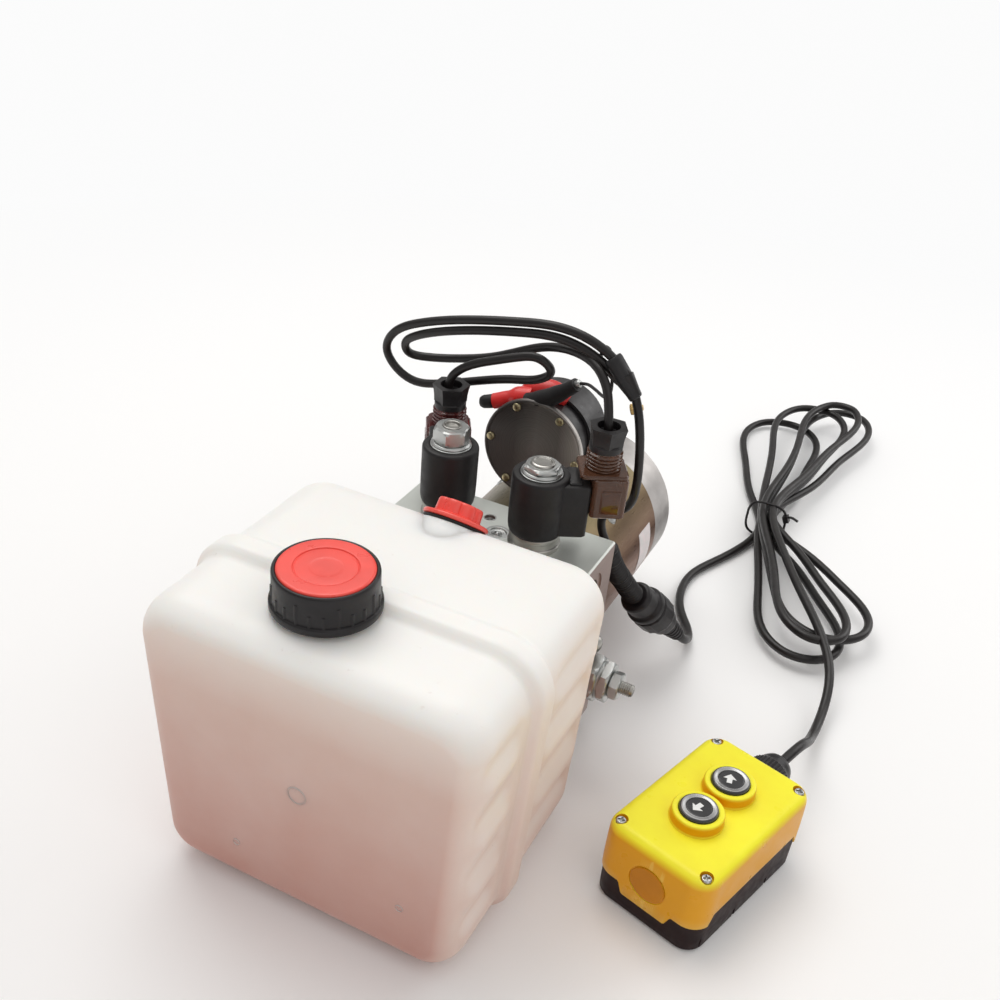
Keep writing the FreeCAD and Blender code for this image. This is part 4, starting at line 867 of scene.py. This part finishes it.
def build_manifold_details():
    """The two plugs let into the block's top: one with a ball, one with a ring."""
    seat = turned([(0, -1.6), (2.2, -1.6), (2.4, -0.7), (3.4, -0.5), (3.8, -1), (4.9, -0.9), (5.2, -0.1),
                   (5.5, 0.05), (7.3, 0.06), (7.3, -1.5), (7.3, -3.5), (0, -3.5)], 0.15, 56)
    angles = [math.pi / 2 * i / 8 for i in range(8)]
    ball = lathe([(0, -1.7)] + [(1.9 * math.cos(a), -1.0 + 1.5 * math.sin(a)) for a in angles] + [(0, 0.5)],
                 32)
    cap = turned([(0, -3), (3.1, -3), (3.1, -1.6), (2, -1.7), (1.8, -2.6), (0, -2.7)], 0.15, 40)
    ring = turned([(3.1, -0.6), (3.3, 0.04), (4, 0.04), (4.2, -0.6)], 0.1, 40)
    shape = joined(placed(joined(seat, ball), at(9, -30, 139)), placed(joined(cap, ring), at(-2, -18, 139)))
    piece("block_plugs", shape, "zinc_steel", "manifold_plugs", crease=30)


def slotted_stem(name, outer, replaces, body, centre, wide, deep):
    """A turned steel stem along +X whose end carries a screwdriver slot."""
    item = piece(name, placed(turned(outer, 0.25, 56), centre, (1, 0, 0)), "bare_steel", replaces, body,
                 crease=35)
    top = max(height for _, height in outer)
    carve(item, placed(box_shape((wide, 1.5, deep * 2), (0, 0, top)), centre, (1, 0, 0), roll=0.35))
    for face in item.data.polygons:
        face.use_smooth = True
    item.data.set_sharp_from_angle(angle=math.radians(35))


def build_relief():
    centre = at(0, -31, 63)
    body = joined(
        hex_nut(26.6, 71.2, 85.2, 6.2, 1.4),
        turned([(6.2, 84.8), (11.2, 84.8), (11.2, 87), (6.2, 87)], 0.3, 56),
        hex_nut(23.4, 86.4, 92, 4.2, 1.2),
        lathe([(0.5, 44), (9.8, 44), (9.8, 71.5), (0.5, 71.5)], 48),
    )
    piece("relief_hexagon", placed(body, centre, turn=Z_TO_X, roll=0.25), "zinc_steel", "relief_body",
          crease=24)
    lock = hex_nut(15.6, 92.1, 98.4, 4, 1)
    piece("relief_nut", placed(lock, centre, turn=Z_TO_X, roll=0.6), "zinc_steel", "relief_lock_nut",
          crease=24)
    rod = [(0, 75), (5.9, 75), (5.9, 83), (3.9, 84), (3.9, 98.6)]
    for turn in range(5):
        level = 98.9 + 1.25 * turn
        rod += [(3.55, level), (3.95, level + 0.35), (3.95, level + 0.7), (3.55, level + 1.05)]
    rod += [(3.6, 105.3), (3.1, 106), (0, 106)]
    slotted_stem("relief_screw", rod, "relief_adjuster", "relief_adjuster", centre, 11.8, 1.6)
    screw = [(0, 52), (2, 52), (3.9, 55), (3.9, 72.2), (5.3, 72.4), (5.6, 73.2), (5.6, 78.2), (5.2, 79.8),
             (4.2, 81.2), (2.6, 82), (0, 82.3)]
    slotted_stem("flow_head", screw, "flow_screw", "flow_screw", at(0, -31, 87), 15.2, 1.4)


# ---------------------------------------------------------------- motor

YOKE_FACE = 54.6
LABEL_INNER, LABEL_OUTER = 57.05, 57.35


def build_pole_screws():
    """Four pan-head screws on oval washers round the yoke."""
    washer = turned([(0, -0.6), (8.2, -0.6), (8, 0.9), (7.2, 1.5), (5.4, 1.6), (5, 1.3), (0, 1.2)], 0.3, 56)
    head = turned([(0, 0.4), (4.9, 0.4), (4.9, 1.7), (4.3, 2.7), (2.6, 3.3), (0, 3.4)], 0.4, 48)
    length, width = 5.4, 1.1
    along = Vector((0, 1, 0))
    for index in range(4):
        angle = math.radians(45 + 90 * index)
        out = Vector((math.sin(angle), 0, math.cos(angle)))
        centre = at(out.x * YOKE_FACE, 82, SHAFT_HEIGHT + out.z * YOKE_FACE)
        turn = Matrix((along.cross(out), along, out)).transposed().to_quaternion()
        replaces = "pole_screws" if index == 0 else ""
        piece(f"pole_screw_{index}", placed(stretched(washer, 0.78, 1), centre, turn=turn), "zinc_steel",
              replaces, crease=35)
        screw = piece(f"pole_screw_head_{index}", placed(head, centre, turn=turn), "zinc_steel", crease=35)
        for size in ((length, width, 3.2), (width, length, 3.2)):
            carve(screw, placed(box_shape(size, (0, 0, 3.6)), centre, turn=turn, roll=0.5))


def build_label():
    """A blank sticker on the yoke."""
    columns, rows = 14, 10
    verts, faces = [], []
    for radius in (LABEL_INNER, LABEL_OUTER):
        for i in range(columns + 1):
            angle = math.radians(72 + 30 * i / columns)
            x, z = radius * math.sin(angle), SHAFT_HEIGHT + radius * math.cos(angle)
            verts += [at(x, 106 + 20 * j / rows, z) for j in range(rows + 1)]
    side = rows + 1
    layer = (columns + 1) * side
    for corner in (i * side + j for i in range(columns) for j in range(rows)):
        quad = (corner, corner + 1, corner + side + 1, corner + side)
        faces += [quad, tuple(v + layer for v in reversed(quad))]
    near = [i * side for i in range(columns)]
    right = [columns * side + j for j in range(rows)]
    far = [i * side + rows for i in range(columns, 0, -1)]
    left = list(range(rows, 0, -1))
    rim = near + right + far + left
    faces += [(a, b, b + layer, a + layer) for a, b in zip(rim, rim[1:] + rim[:1])]
    piece("motor_label", (verts, faces), "label", crease=60)


# ---------------------------------------------------------------- contactor

RIVET_CIRCLE = 28.8


def soft_sleeve(name, points, widths, finish, replaces=""):
    """A rubber sleeve along a bent line; widths are (share of its length, radius)."""
    path = smooth_path(points)
    total = sum((b - a).length for a, b in zip(path, path[1:]))

    def radius(gone):
        share = gone / total
        for (a, first), (b, last) in zip(widths, widths[1:]):
            if share <= b + 1e-6:
                return first + (last - first) * ease((share - a) / (b - a))
        return widths[-1][1]
    piece(name, drawn(pipe(path, radius, 28)), finish, replaces, crease=50)


def build_contactor():
    centre = at(*CONTACTOR)
    disc = turned([(0, 0.5), (30.6, 0.5), (31, 0.1), (32.2, 0), (33, 0.7), (33, 3.4), (28.9, 3.4),
                   (28.9, 2.5), (0, 2.5)], 0.3, 128)
    piece("contactor_face", placed(disc, centre, turn=Z_TO_Y), "disc_steel", "contactor_disc", crease=30)
    can = turned([(0, 3), (28.6, 3), (28.6, 6), (28.1, 7.2), (28.1, 44.6), (28.6, 45.8), (28.4, 50.5),
                  (26.5, 52), (20, 52), (19, 51.2), (0, 51)], 0.6, 96)
    piece("contactor_case", placed(can, centre, turn=Z_TO_Y), "black_metal", "contactor_can", crease=35)
    head = turned([(0, -0.8), (2.7, -0.8), (2.7, 0.2), (2.2, 0.9), (1.2, 1.25), (0, 1.35)], 0.3, 28)
    heads = []
    for index in range(6):
        angle = math.radians(33 + 60 * index)
        spoke = Vector((math.sin(angle), 0, math.cos(angle))) * RIVET_CIRCLE
        heads.append(placed(head, at(*(CONTACTOR + spoke + Vector((0, 0.1, 0)))), FRONTWARDS))
    piece("contactor_rivet_heads", joined(*heads), "rivet_steel", "contactor_rivets",
          crease=40)


def build_boots():
    """The rubber boots over the contactor's terminals, and the wire that leaves one of them."""
    soft_sleeve("left_boot", [(-13, 54, 183.5), (-20, 53, 182.5), (-28, 51.5, 180), (-37, 50, 176.8)],
                [(0, 7.4), (0.35, 7.2), (0.6, 5.4), (1, 4.9)], "boot_rubber", "terminal_boots")
    soft_sleeve("left_boot_end", [(-36, 50.2, 177.2), (-41, 49.6, 175.6), (-45.5, 49, 174.4)],
                [(0, 3.8), (0.2, 4.4), (0.8, 4.2), (1, 3)], "black_rubber")
    soft_sleeve("top_boot", [(-20, 60, 181), (-15, 60, 186), (-7, 60, 188.3), (1, 61, 188), (7, 62, 185)],
                [(0, 6.6), (0.3, 7.6), (0.6, 7.2), (0.85, 6.2), (1, 4.6)], "boot_rubber")
    soft_sleeve("front_boot", [(-13.7, 47.5, 184.5), (-6.7, 46.5, 187.2), (1.3, 45.5, 192), (10.3, 44, 199),
                               (18.3, 43, 206)],
                [(0, 5), (0.25, 6), (0.55, 5.5), (0.85, 4.4), (1, 4.1)], "black_rubber")
    stud = turned([(0, -2), (2.4, -2), (2.4, 1.4), (1.9, 2.2), (0, 2.3)], 0.3, 28)
    stud_axis = Vector((8, -0.5, 5.5)).normalized()
    piece("front_stud", placed(stud, at(18.9, 43, 206.5), stud_axis), "zinc_steel", crease=35)
    wire = smooth_path([(19.6, 42.9, 207.2), (26, 40, 209.5), (34, 32, 211.5), (41, 25, 212.5),
                        (47, 17, 216), (50, 11.5, 224), (50, 9.5, 234), (48.5, 8.5, 243), (46.5, 8.5, 248),
                        (43.5, 9, 248.5), (42, 9.5, 244), (44, 10, 237), (51, 9.5, 231), (58, 7.5, 229)])
    piece("thin_wire", drawn(pipe(wire, 0.95, 12)), "cable_pvc", crease=60)


# ---------------------------------------------------------------- cables and connectors

SLEEVE_MOUTH, SLEEVE_OUTLET = Vector((58.6, 3.7, 237)), Vector((66.8, 3.2, 228))
CONDUIT = [(62.5, 11.5, 125), (64, 14, 119), (66, 22, 106), (69, 36, 89), (72.5, 47.8, 74.2),
           (74.6, 52, 69.3)]
CONNECTOR_START, CONNECTOR_END = Vector((74.6, 52, 69.3)), Vector((97.5, 95.7, 19.6))
TIE = Vector((106, 286, 0))


def ridged(position, half_width):
    """How high a rounded ridge stands, one ridge per whole step of position."""
    return ease(1 - abs(position % 1.0 - 0.5) / half_width)


def conduit_radius(gone):
    return 5.3 + 1.5 * ridged(gone / 3.1, 0.34)


def connector_grip(angle, radius, height):
    if 19.6 <= height <= 32.5 and radius > 12.5:
        return radius + 0.35 * ridged(angle * 14 / TAU, 0.3)
    return radius


def knurl(angle, radius, height):
    return radius + (0.16 * math.cos(angle * 20) if radius > 2.4 else 0)


def build_harness():
    """The sleeve that gathers the leads, the ribbed conduit, and the connector at its end."""
    sleeve = turned([(0, -12), (4.9, -12), (5.4, -10.5), (5.3, 0), (4.7, 6), (4.1, 12.5), (3.6, 13.2),
                     (0, 13.4)], 0.5, 40)
    axis = (SLEEVE_OUTLET - SLEEVE_MOUTH).normalized()
    piece("lead_sleeve", placed(stretched(sleeve, 1.15, 0.82), at(*SLEEVE_MOUTH), axis), "black_rubber",
          crease=40)
    terminal = turned([(0, -2.6), (2.6, -2.6), (2.9, -2.2), (2.9, 2.2), (2.6, 2.6), (1.6, 2.6), (1.6, 4.4),
                       (0, 4.5)], 0.2, 60, knurl)
    piece("brass_terminal", placed(terminal, at(66.8, 6.5, 219.5), (0.9, 0.25, 0.35)), "brass",
          crease=40)
    conduit = pipe(smooth_path(CONDUIT, 0.45), conduit_radius, 36)
    piece("ribbed_conduit", drawn(conduit), "black_plastic", "harness_conduit", crease=70)

    shell = eased([(0, -1.5), (8.6, -1.5), (10.2, -0.5), (10.8, 1.5), (10.8, 11), (11.6, 12.2), (12.7, 13.2),
                   (13, 14.6), (13, 17), (12.2, 17.6), (12.2, 19), (13, 19.6), (13, 32.5), (12.3, 34),
                   (11, 35.2), (10.4, 37.4), (9.9, 43.5), (8.4, 46.5), (7.4, 47.5)], 0.5)
    for index in range(5):
        level = 48 + 4.2 * index
        wide = 7.3 - 0.55 * index
        shell += [(wide - 1.3, level), (wide, level + 0.7), (wide, level + 2.2), (wide - 1.3, level + 2.9)]
    shell += [(4.3, 69.4), (3.3, 69.9), (0, 69.95)]
    along = (CONNECTOR_END - CONNECTOR_START).normalized()
    body = placed(lathe(shell, 112, connector_grip), at(*CONNECTOR_START), along)
    piece("round_connector", body, "black_plastic", "inline_connector", crease=34)


def build_tie():
    """The cable tie round the hank's waist: a squared loop, its lock and its loose end."""
    def squared(value):
        return math.copysign(abs(value) ** 0.62, value)
    angles = [TAU * step / 48 for step in range(48)]
    loop = [TIE + Vector((15.5 * squared(math.cos(a)), 0,
                          16.5 + 15.2 * squared(math.sin(a)))) for a in angles]
    loose = smooth_path([TIE + Vector(offset) for offset in ((14.8, 0, 24), (19, -1, 26), (25, -3, 25.5))])
    tilt = UP.rotation_difference(Vector((0.9, 0, 0.4)))
    verts, faces = box_shape((5.5, 5.2, 4.2), (0, 0, 0))
    lock = ([tilt @ Vector(v) + TIE + Vector((15.3, 0, 23)) for v in verts], faces)
    shape = joined(pipe(loop, 1, 10, closed=True), pipe(loose, 1, 10), lock)
    piece("hank_tie", drawn(shape), "black_plastic", crease=40)


# ---------------------------------------------------------------- hand control

BOX = Vector((174, -85, 0))
BOX_TURN = Quaternion((0, 0, 1), math.radians(-15.9))
WIDE, LONG, LID = 68, 106, 54
BUTTONS = {"down": -15.25, "up": 15.25}
ARROW_TURNS = {"down": 172, "up": 25}
LID_SCREWS = [(x, y) for x in (-27, 27) for y in (-45, 45)]
ARROW = [(-1.45, -3.2), (1.45, -3.2), (1.45, 0.2), (3.6, 0.2), (0, 3.9), (-3.6, 0.2), (-1.45, 0.2)]


def in_box(shape):
    """A shape in the hand control's own millimetres, taken to the model's frame."""
    verts, faces = shape
    return [at(*(BOX + BOX_TURN @ Vector(v))) for v in verts], faces


def on_end(y, z):
    """A place on one of the hand control's two ends, in the model's frame."""
    return at(*(BOX + BOX_TURN @ Vector((0, y, z))))


def parting(x, y):
    """The height of the joint between cover and base, stepped along the sides as moulded."""
    level = 19.0
    if abs(y) > LONG / 2 - 4:
        level -= 7.5 * ease((17.5 - abs(x)) / 4)
    if abs(x) > WIDE / 2 - 4:
        level += 7.0 * ease((43 - abs(y)) / 3.5)
    return level


def outline_points(inset, radius=12):
    """The case's outline, drawn in by an inset, with enough points for the stepped joint to follow."""
    corner = max(radius - inset, 1.5)
    arcs = rounded_outline(WIDE - 2 * inset, LONG - 2 * inset, corner, 9)
    points = []
    for index, arc in enumerate(arcs):
        a, b = Vector(arc[-1]), Vector(arcs[(index + 1) % 4][0])
        count = (40, 66)[index % 2]
        points += arc + [tuple(a + (b - a) * step / count) for step in range(1, count)]
    return points


def level_ring(inset, height):
    return [(x, y, height) for x, y in outline_points(inset)]


def parting_ring(inset, rise):
    return [(x, y, parting(x, y) + rise) for x, y in outline_points(inset)]


def lid_shape():
    """The cover from its joint with the base to its rounded top edge."""
    wall_top, edge, gap = 47.5, 6.5, 0.6
    rings = [parting_ring(3, 0.25), parting_ring(0.25, 0.25)]
    for share in (0, 0.5, 1):
        points = [(x, y, parting(x, y)) for x, y in outline_points(0)]
        rings.append([(x, y, level + gap + (30 - level) * share) for x, y, level in points])
    rings += [level_ring(0.15, 40), level_ring(0.4, wall_top)]
    for step in range(1, 9):
        angle = math.pi / 2 * step / 8
        rings.append(level_ring(0.4 + 6.0 * (1 - math.cos(angle)), wall_top + edge * math.sin(angle)))
    return skin(rings + [level_ring(8.5, LID)])


def build_lid():
    cover = piece("control_lid", in_box(lid_shape()), "yellow_plastic", "control_cover", crease=40)
    screw_hole = lathe([(0, 51.4), (3.6, 51.4), (3.8, 56), (0, 56)], 40)
    for x, y in LID_SCREWS:
        carve(cover, in_box(shifted(screw_hole, x, y)))
    button_hole = lathe([(0, 36), (10.85, 36), (10.85, 58), (0, 58)])
    for y in BUTTONS.values():
        carve(cover, in_box(shifted(button_hole, 0, y)))
    face = BOX_TURN @ Vector(FRONTWARDS)
    knockout = on_end(-LONG / 2 - 0.05, 30.5)
    groove = lathe([(10.9, -0.55), (11.6, -0.55), (11.6, 2), (10.9, 2)], 72)
    carve(cover, placed(groove, knockout, face))
    cover.data.set_sharp_from_angle(angle=math.radians(40))
    # the knockout dish takes the darker yellow, painted shade in its recess
    dish = turned([(0, -1.5), (10.9, -1.5), (10.9, 0.05), (10.4, 0.35), (0, 0.35)], 0.3, 72)
    piece("control_knockout", placed(dish, knockout, face), "yellow_recess_painted_shade",
          crease=40)
    collar = turned([(10.85, 52), (15.4, 52), (15, 54.2), (14.5, 55), (14.3, 59.6), (13.7, 60.8), (11.6, 61),
                     (10.85, 60.6)], 0.7, 88)
    collars = joined(*[shifted(collar, 0, y) for y in BUTTONS.values()])
    piece("control_collars", in_box(collars), "yellow_plastic", crease=42)


def build_back():
    """The base with its stepped upper edge, and the notches moulded along its sides."""
    rings = [level_ring(3.2, 0), level_ring(2, 0.5), level_ring(1, 2.2)]
    for share in (0.35, 0.7):
        rings.append([(x, y, 2.2 + (parting(x, y) - 2.2) * share) for x, y in outline_points(0.9)])
    rings += [parting_ring(0.8, -0.1), parting_ring(1.4, 0.2), parting_ring(4, 0.2), level_ring(9, 18)]
    back = piece("control_back", in_box(skin(rings)), "maroon_plastic", "control_base",
                 crease=40)
    for side in (-1, 1):
        for y, long, z in ((-46, 5, 2), (-12, 2.2, 0), (20, 2.2, 0), (46, 5, 2)):
            carve(back, in_box(box_shape((3, long, 14), (side * (WIDE / 2 - 0.2), y, z))))
    back.data.set_sharp_from_angle(angle=math.radians(40))


def build_lid_screws():
    head = turned([(0, 49), (2.9, 49), (2.9, 52.6), (2.4, 53.3), (0, 53.4)], 0.3, 36)
    bar = box_shape((3.8, 0.8, 2.4), (0, 0, 53.5))
    for index, (x, y) in enumerate(LID_SCREWS):
        replaces = "control_screws" if index == 0 else ""
        screw = piece(f"lid_screw_{index}", in_box(shifted(head, x, y)), "zinc_steel", replaces, crease=35)
        for turn in (0.4 + index, 0.4 + index + math.pi / 2):
            carve(screw, in_box(shifted(bar, x, y, turn)))


def fine_ribs(angle, radius, height):
    if radius > 12.0 and 0.8 < height < 12.4:
        return radius + 0.4 * ridged(angle * 40 / TAU, 0.32)
    return radius


def build_cord_gland():
    gland = turned([(3.35, -6), (5.8, -6), (5.8, 0), (11.4, 0), (11.8, 0.6), (11.8, 2.2), (12.5, 2.8),
                    (12.6, 3), (12.6, 12.2), (12.3, 12.6), (11.6, 13.6), (10.9, 15.5), (10.4, 18.5),
                    (9.2, 21.5), (7.2, 23.8), (5.2, 24.8), (3.5, 25), (3.35, 24.5)], 0.4, 240, fine_ribs)
    outward = BOX_TURN @ Vector((0, 1, 0))
    piece("cord_gland", placed(gland, on_end(LONG / 2, 33), outward), "black_plastic", "control_gland",
          crease=38)


def build_buttons():
    """Each button's cap, its bright ring and its arrow, all moving together."""
    knob = turned([(0, 42.2), (12.4, 42.2), (12.4, 44.8), (10.55, 45.2), (10.55, 61.4), (10.2, 62.2),
                   (9.4, 62.5), (9, 62.3), (8.9, 61.9), (7, 61.8), (6.9, 62.2), (6.4, 62.3), (0, 62.3)], 0.2,
                  88)
    ring = turned([(7.15, 61.9), (8.85, 61.9), (9.6, 62.45), (9.3, 62.72), (8.6, 62.62), (7.6, 62.28),
                   (7.15, 62.3)], 0.15, 88)
    arrow = skin([[(x, y, height) for x, y in ARROW] for height in (62.2, 62.45)])
    for name, y in BUTTONS.items():
        body = f"{name}_button"
        mark = shifted(arrow, -0.6, y - 0.4, math.radians(ARROW_TURNS[name]))
        piece(f"{name}_knob", in_box(shifted(knob, 0, y)), "button_plastic", body, body, crease=35)
        piece(f"{name}_knob_ring", in_box(shifted(ring, 0, y)), "button_ring", "", body,
              35)
        piece(f"{name}_arrow", in_box(mark), "button_mark", "", body, 30)


# ---------------------------------------------------------------- CAD nodes that stay, stage and camera

def finish_nodes():
    """Every CAD node takes the finish its record names."""
    slots = {part["node"]: part["material_slot"] for part in frame["record"]["subparts"]}
    for name, node in frame["nodes"].items():
        node.data.materials.clear()
        node.data.materials.append(M[slots[name]])


def build_floor():
    """A pale floor, painted near the object and evenly bright far from it."""
    half, level = 40, at(0, 0, 0).z - 0.0002
    near, far = 0.35, 1.1
    mesh = bpy.data.meshes.new("floor")
    corners = [(-half, -half, level), (half, -half, level), (half, half, level), (-half, half, level)]
    mesh.from_pydata(corners, [], [(0, 1, 2, 3)])
    floor = bpy.data.objects.new("floor", mesh)
    bpy.context.scene.collection.objects.link(floor)
    made, tree, shader = node_tree("floor_paint")
    feed(tree, shader, Base_Color=(*grey(0.96), 1), Roughness=0.75)
    place = add(tree, "TexCoord").outputs["Object"]
    away = add(tree, "VectorMath", operation="LENGTH", Vector=place).outputs["Value"]
    glow = add(tree, "Emission", Strength=0.97)
    blend = add(tree, "MixShader", Fac=remap(tree, away, (near, far)))
    tree.links.new(shader.outputs[0], blend.inputs[1])
    tree.links.new(glow.outputs[0], blend.inputs[2])
    target = next(node for node in tree.nodes if node.type == "OUTPUT_MATERIAL")
    feed(tree, target, Surface=blend.outputs[0])
    mesh.materials.append(made)


def build_world():
    """Soft studio light, darker towards the floor; the camera sees it as bright as the floor."""
    world = bpy.data.worlds.new("studio")
    bpy.context.scene.world = world
    world.use_nodes = True
    tree = world.node_tree
    height = component(tree, add(tree, "TexCoord").outputs["Generated"], "Z")
    shade = ramp(tree, height, [
        (0, (0.30, 0.285, 0.28)),
        (0.25, (0.42, 0.41, 0.40)),
        (0.55, (0.85, 0.84, 0.83)),
        (1, (1, 0.99, 0.98)),
    ])
    seen = add(tree, "LightPath").outputs["Is Camera Ray"]
    feed(tree, tree.nodes["Background"], Color=mix(tree, seen, shade, grey(1.35)), Strength=0.72)


def build_lights():
    """Three square lamps, placed in metres in the model's frame."""
    lamps = (
        ("key", (-0.6, 0.5, 1.7), (0, 0, 0.1), 1.3, 14, (1, 0.985, 0.96)),
        ("fill", (1.3, -0.9, 1.1), (0.05, 0, 0.05), 1.5, 4, (1, 0.97, 0.95)),
        ("back", (0.9, 1.5, 0.9), (0, 0.05, 0.1), 1.1, 6, (1, 1, 1)),
    )
    for name, spot, aim, size, power, colour in lamps:
        light = bpy.data.lights.new(name, "AREA")
        light.energy = power
        light.size = size
        light.color = colour
        item = bpy.data.objects.new(name, light)
        item.location = spot
        item.rotation_mode = "QUATERNION"
        item.rotation_quaternion = (Vector(spot) - Vector(aim)).to_track_quat("Z", "Y")
        bpy.context.scene.collection.objects.link(item)


def build_camera():
    """The view of the reference picture: from the front right, looking down, rolled a little."""
    azimuth, elevation, roll = (math.radians(v) for v in (25.97, 36.48, 4.23))
    level = math.cos(elevation)
    back = Vector((math.sin(azimuth) * level, -math.cos(azimuth) * level, math.sin(elevation)))
    right = UP.cross(back).normalized()
    up = back.cross(right)
    rolled_right = right * math.cos(roll) + up * math.sin(roll)
    rolled_up = up * math.cos(roll) - right * math.sin(roll)
    facing = Matrix((rolled_right, rolled_up, back)).transposed().to_4x4()
    data = bpy.data.cameras.new("camera")
    data.sensor_width = 36
    data.lens = 41.73
    data.shift_x = 0.0522
    data.shift_y = 0.1133
    data.clip_start = 0.01
    camera = bpy.data.objects.new("camera", data)
    camera.matrix_world = Matrix.Translation(at(235.17, -552.07, 498.44)) @ facing
    bpy.context.scene.collection.objects.link(camera)
    bpy.context.scene.camera = camera
    bpy.context.scene.view_settings.view_transform = "Standard"


build_tank()
build_caps()
build_valves()
build_manifold_details()
build_relief()
build_pole_screws()
build_label()
build_contactor()
build_boots()
build_harness()
build_tie()
build_lid()
build_back()
build_lid_screws()
build_cord_gland()
build_buttons()
finish_nodes()
build_floor()
build_world()
build_lights()
build_camera()
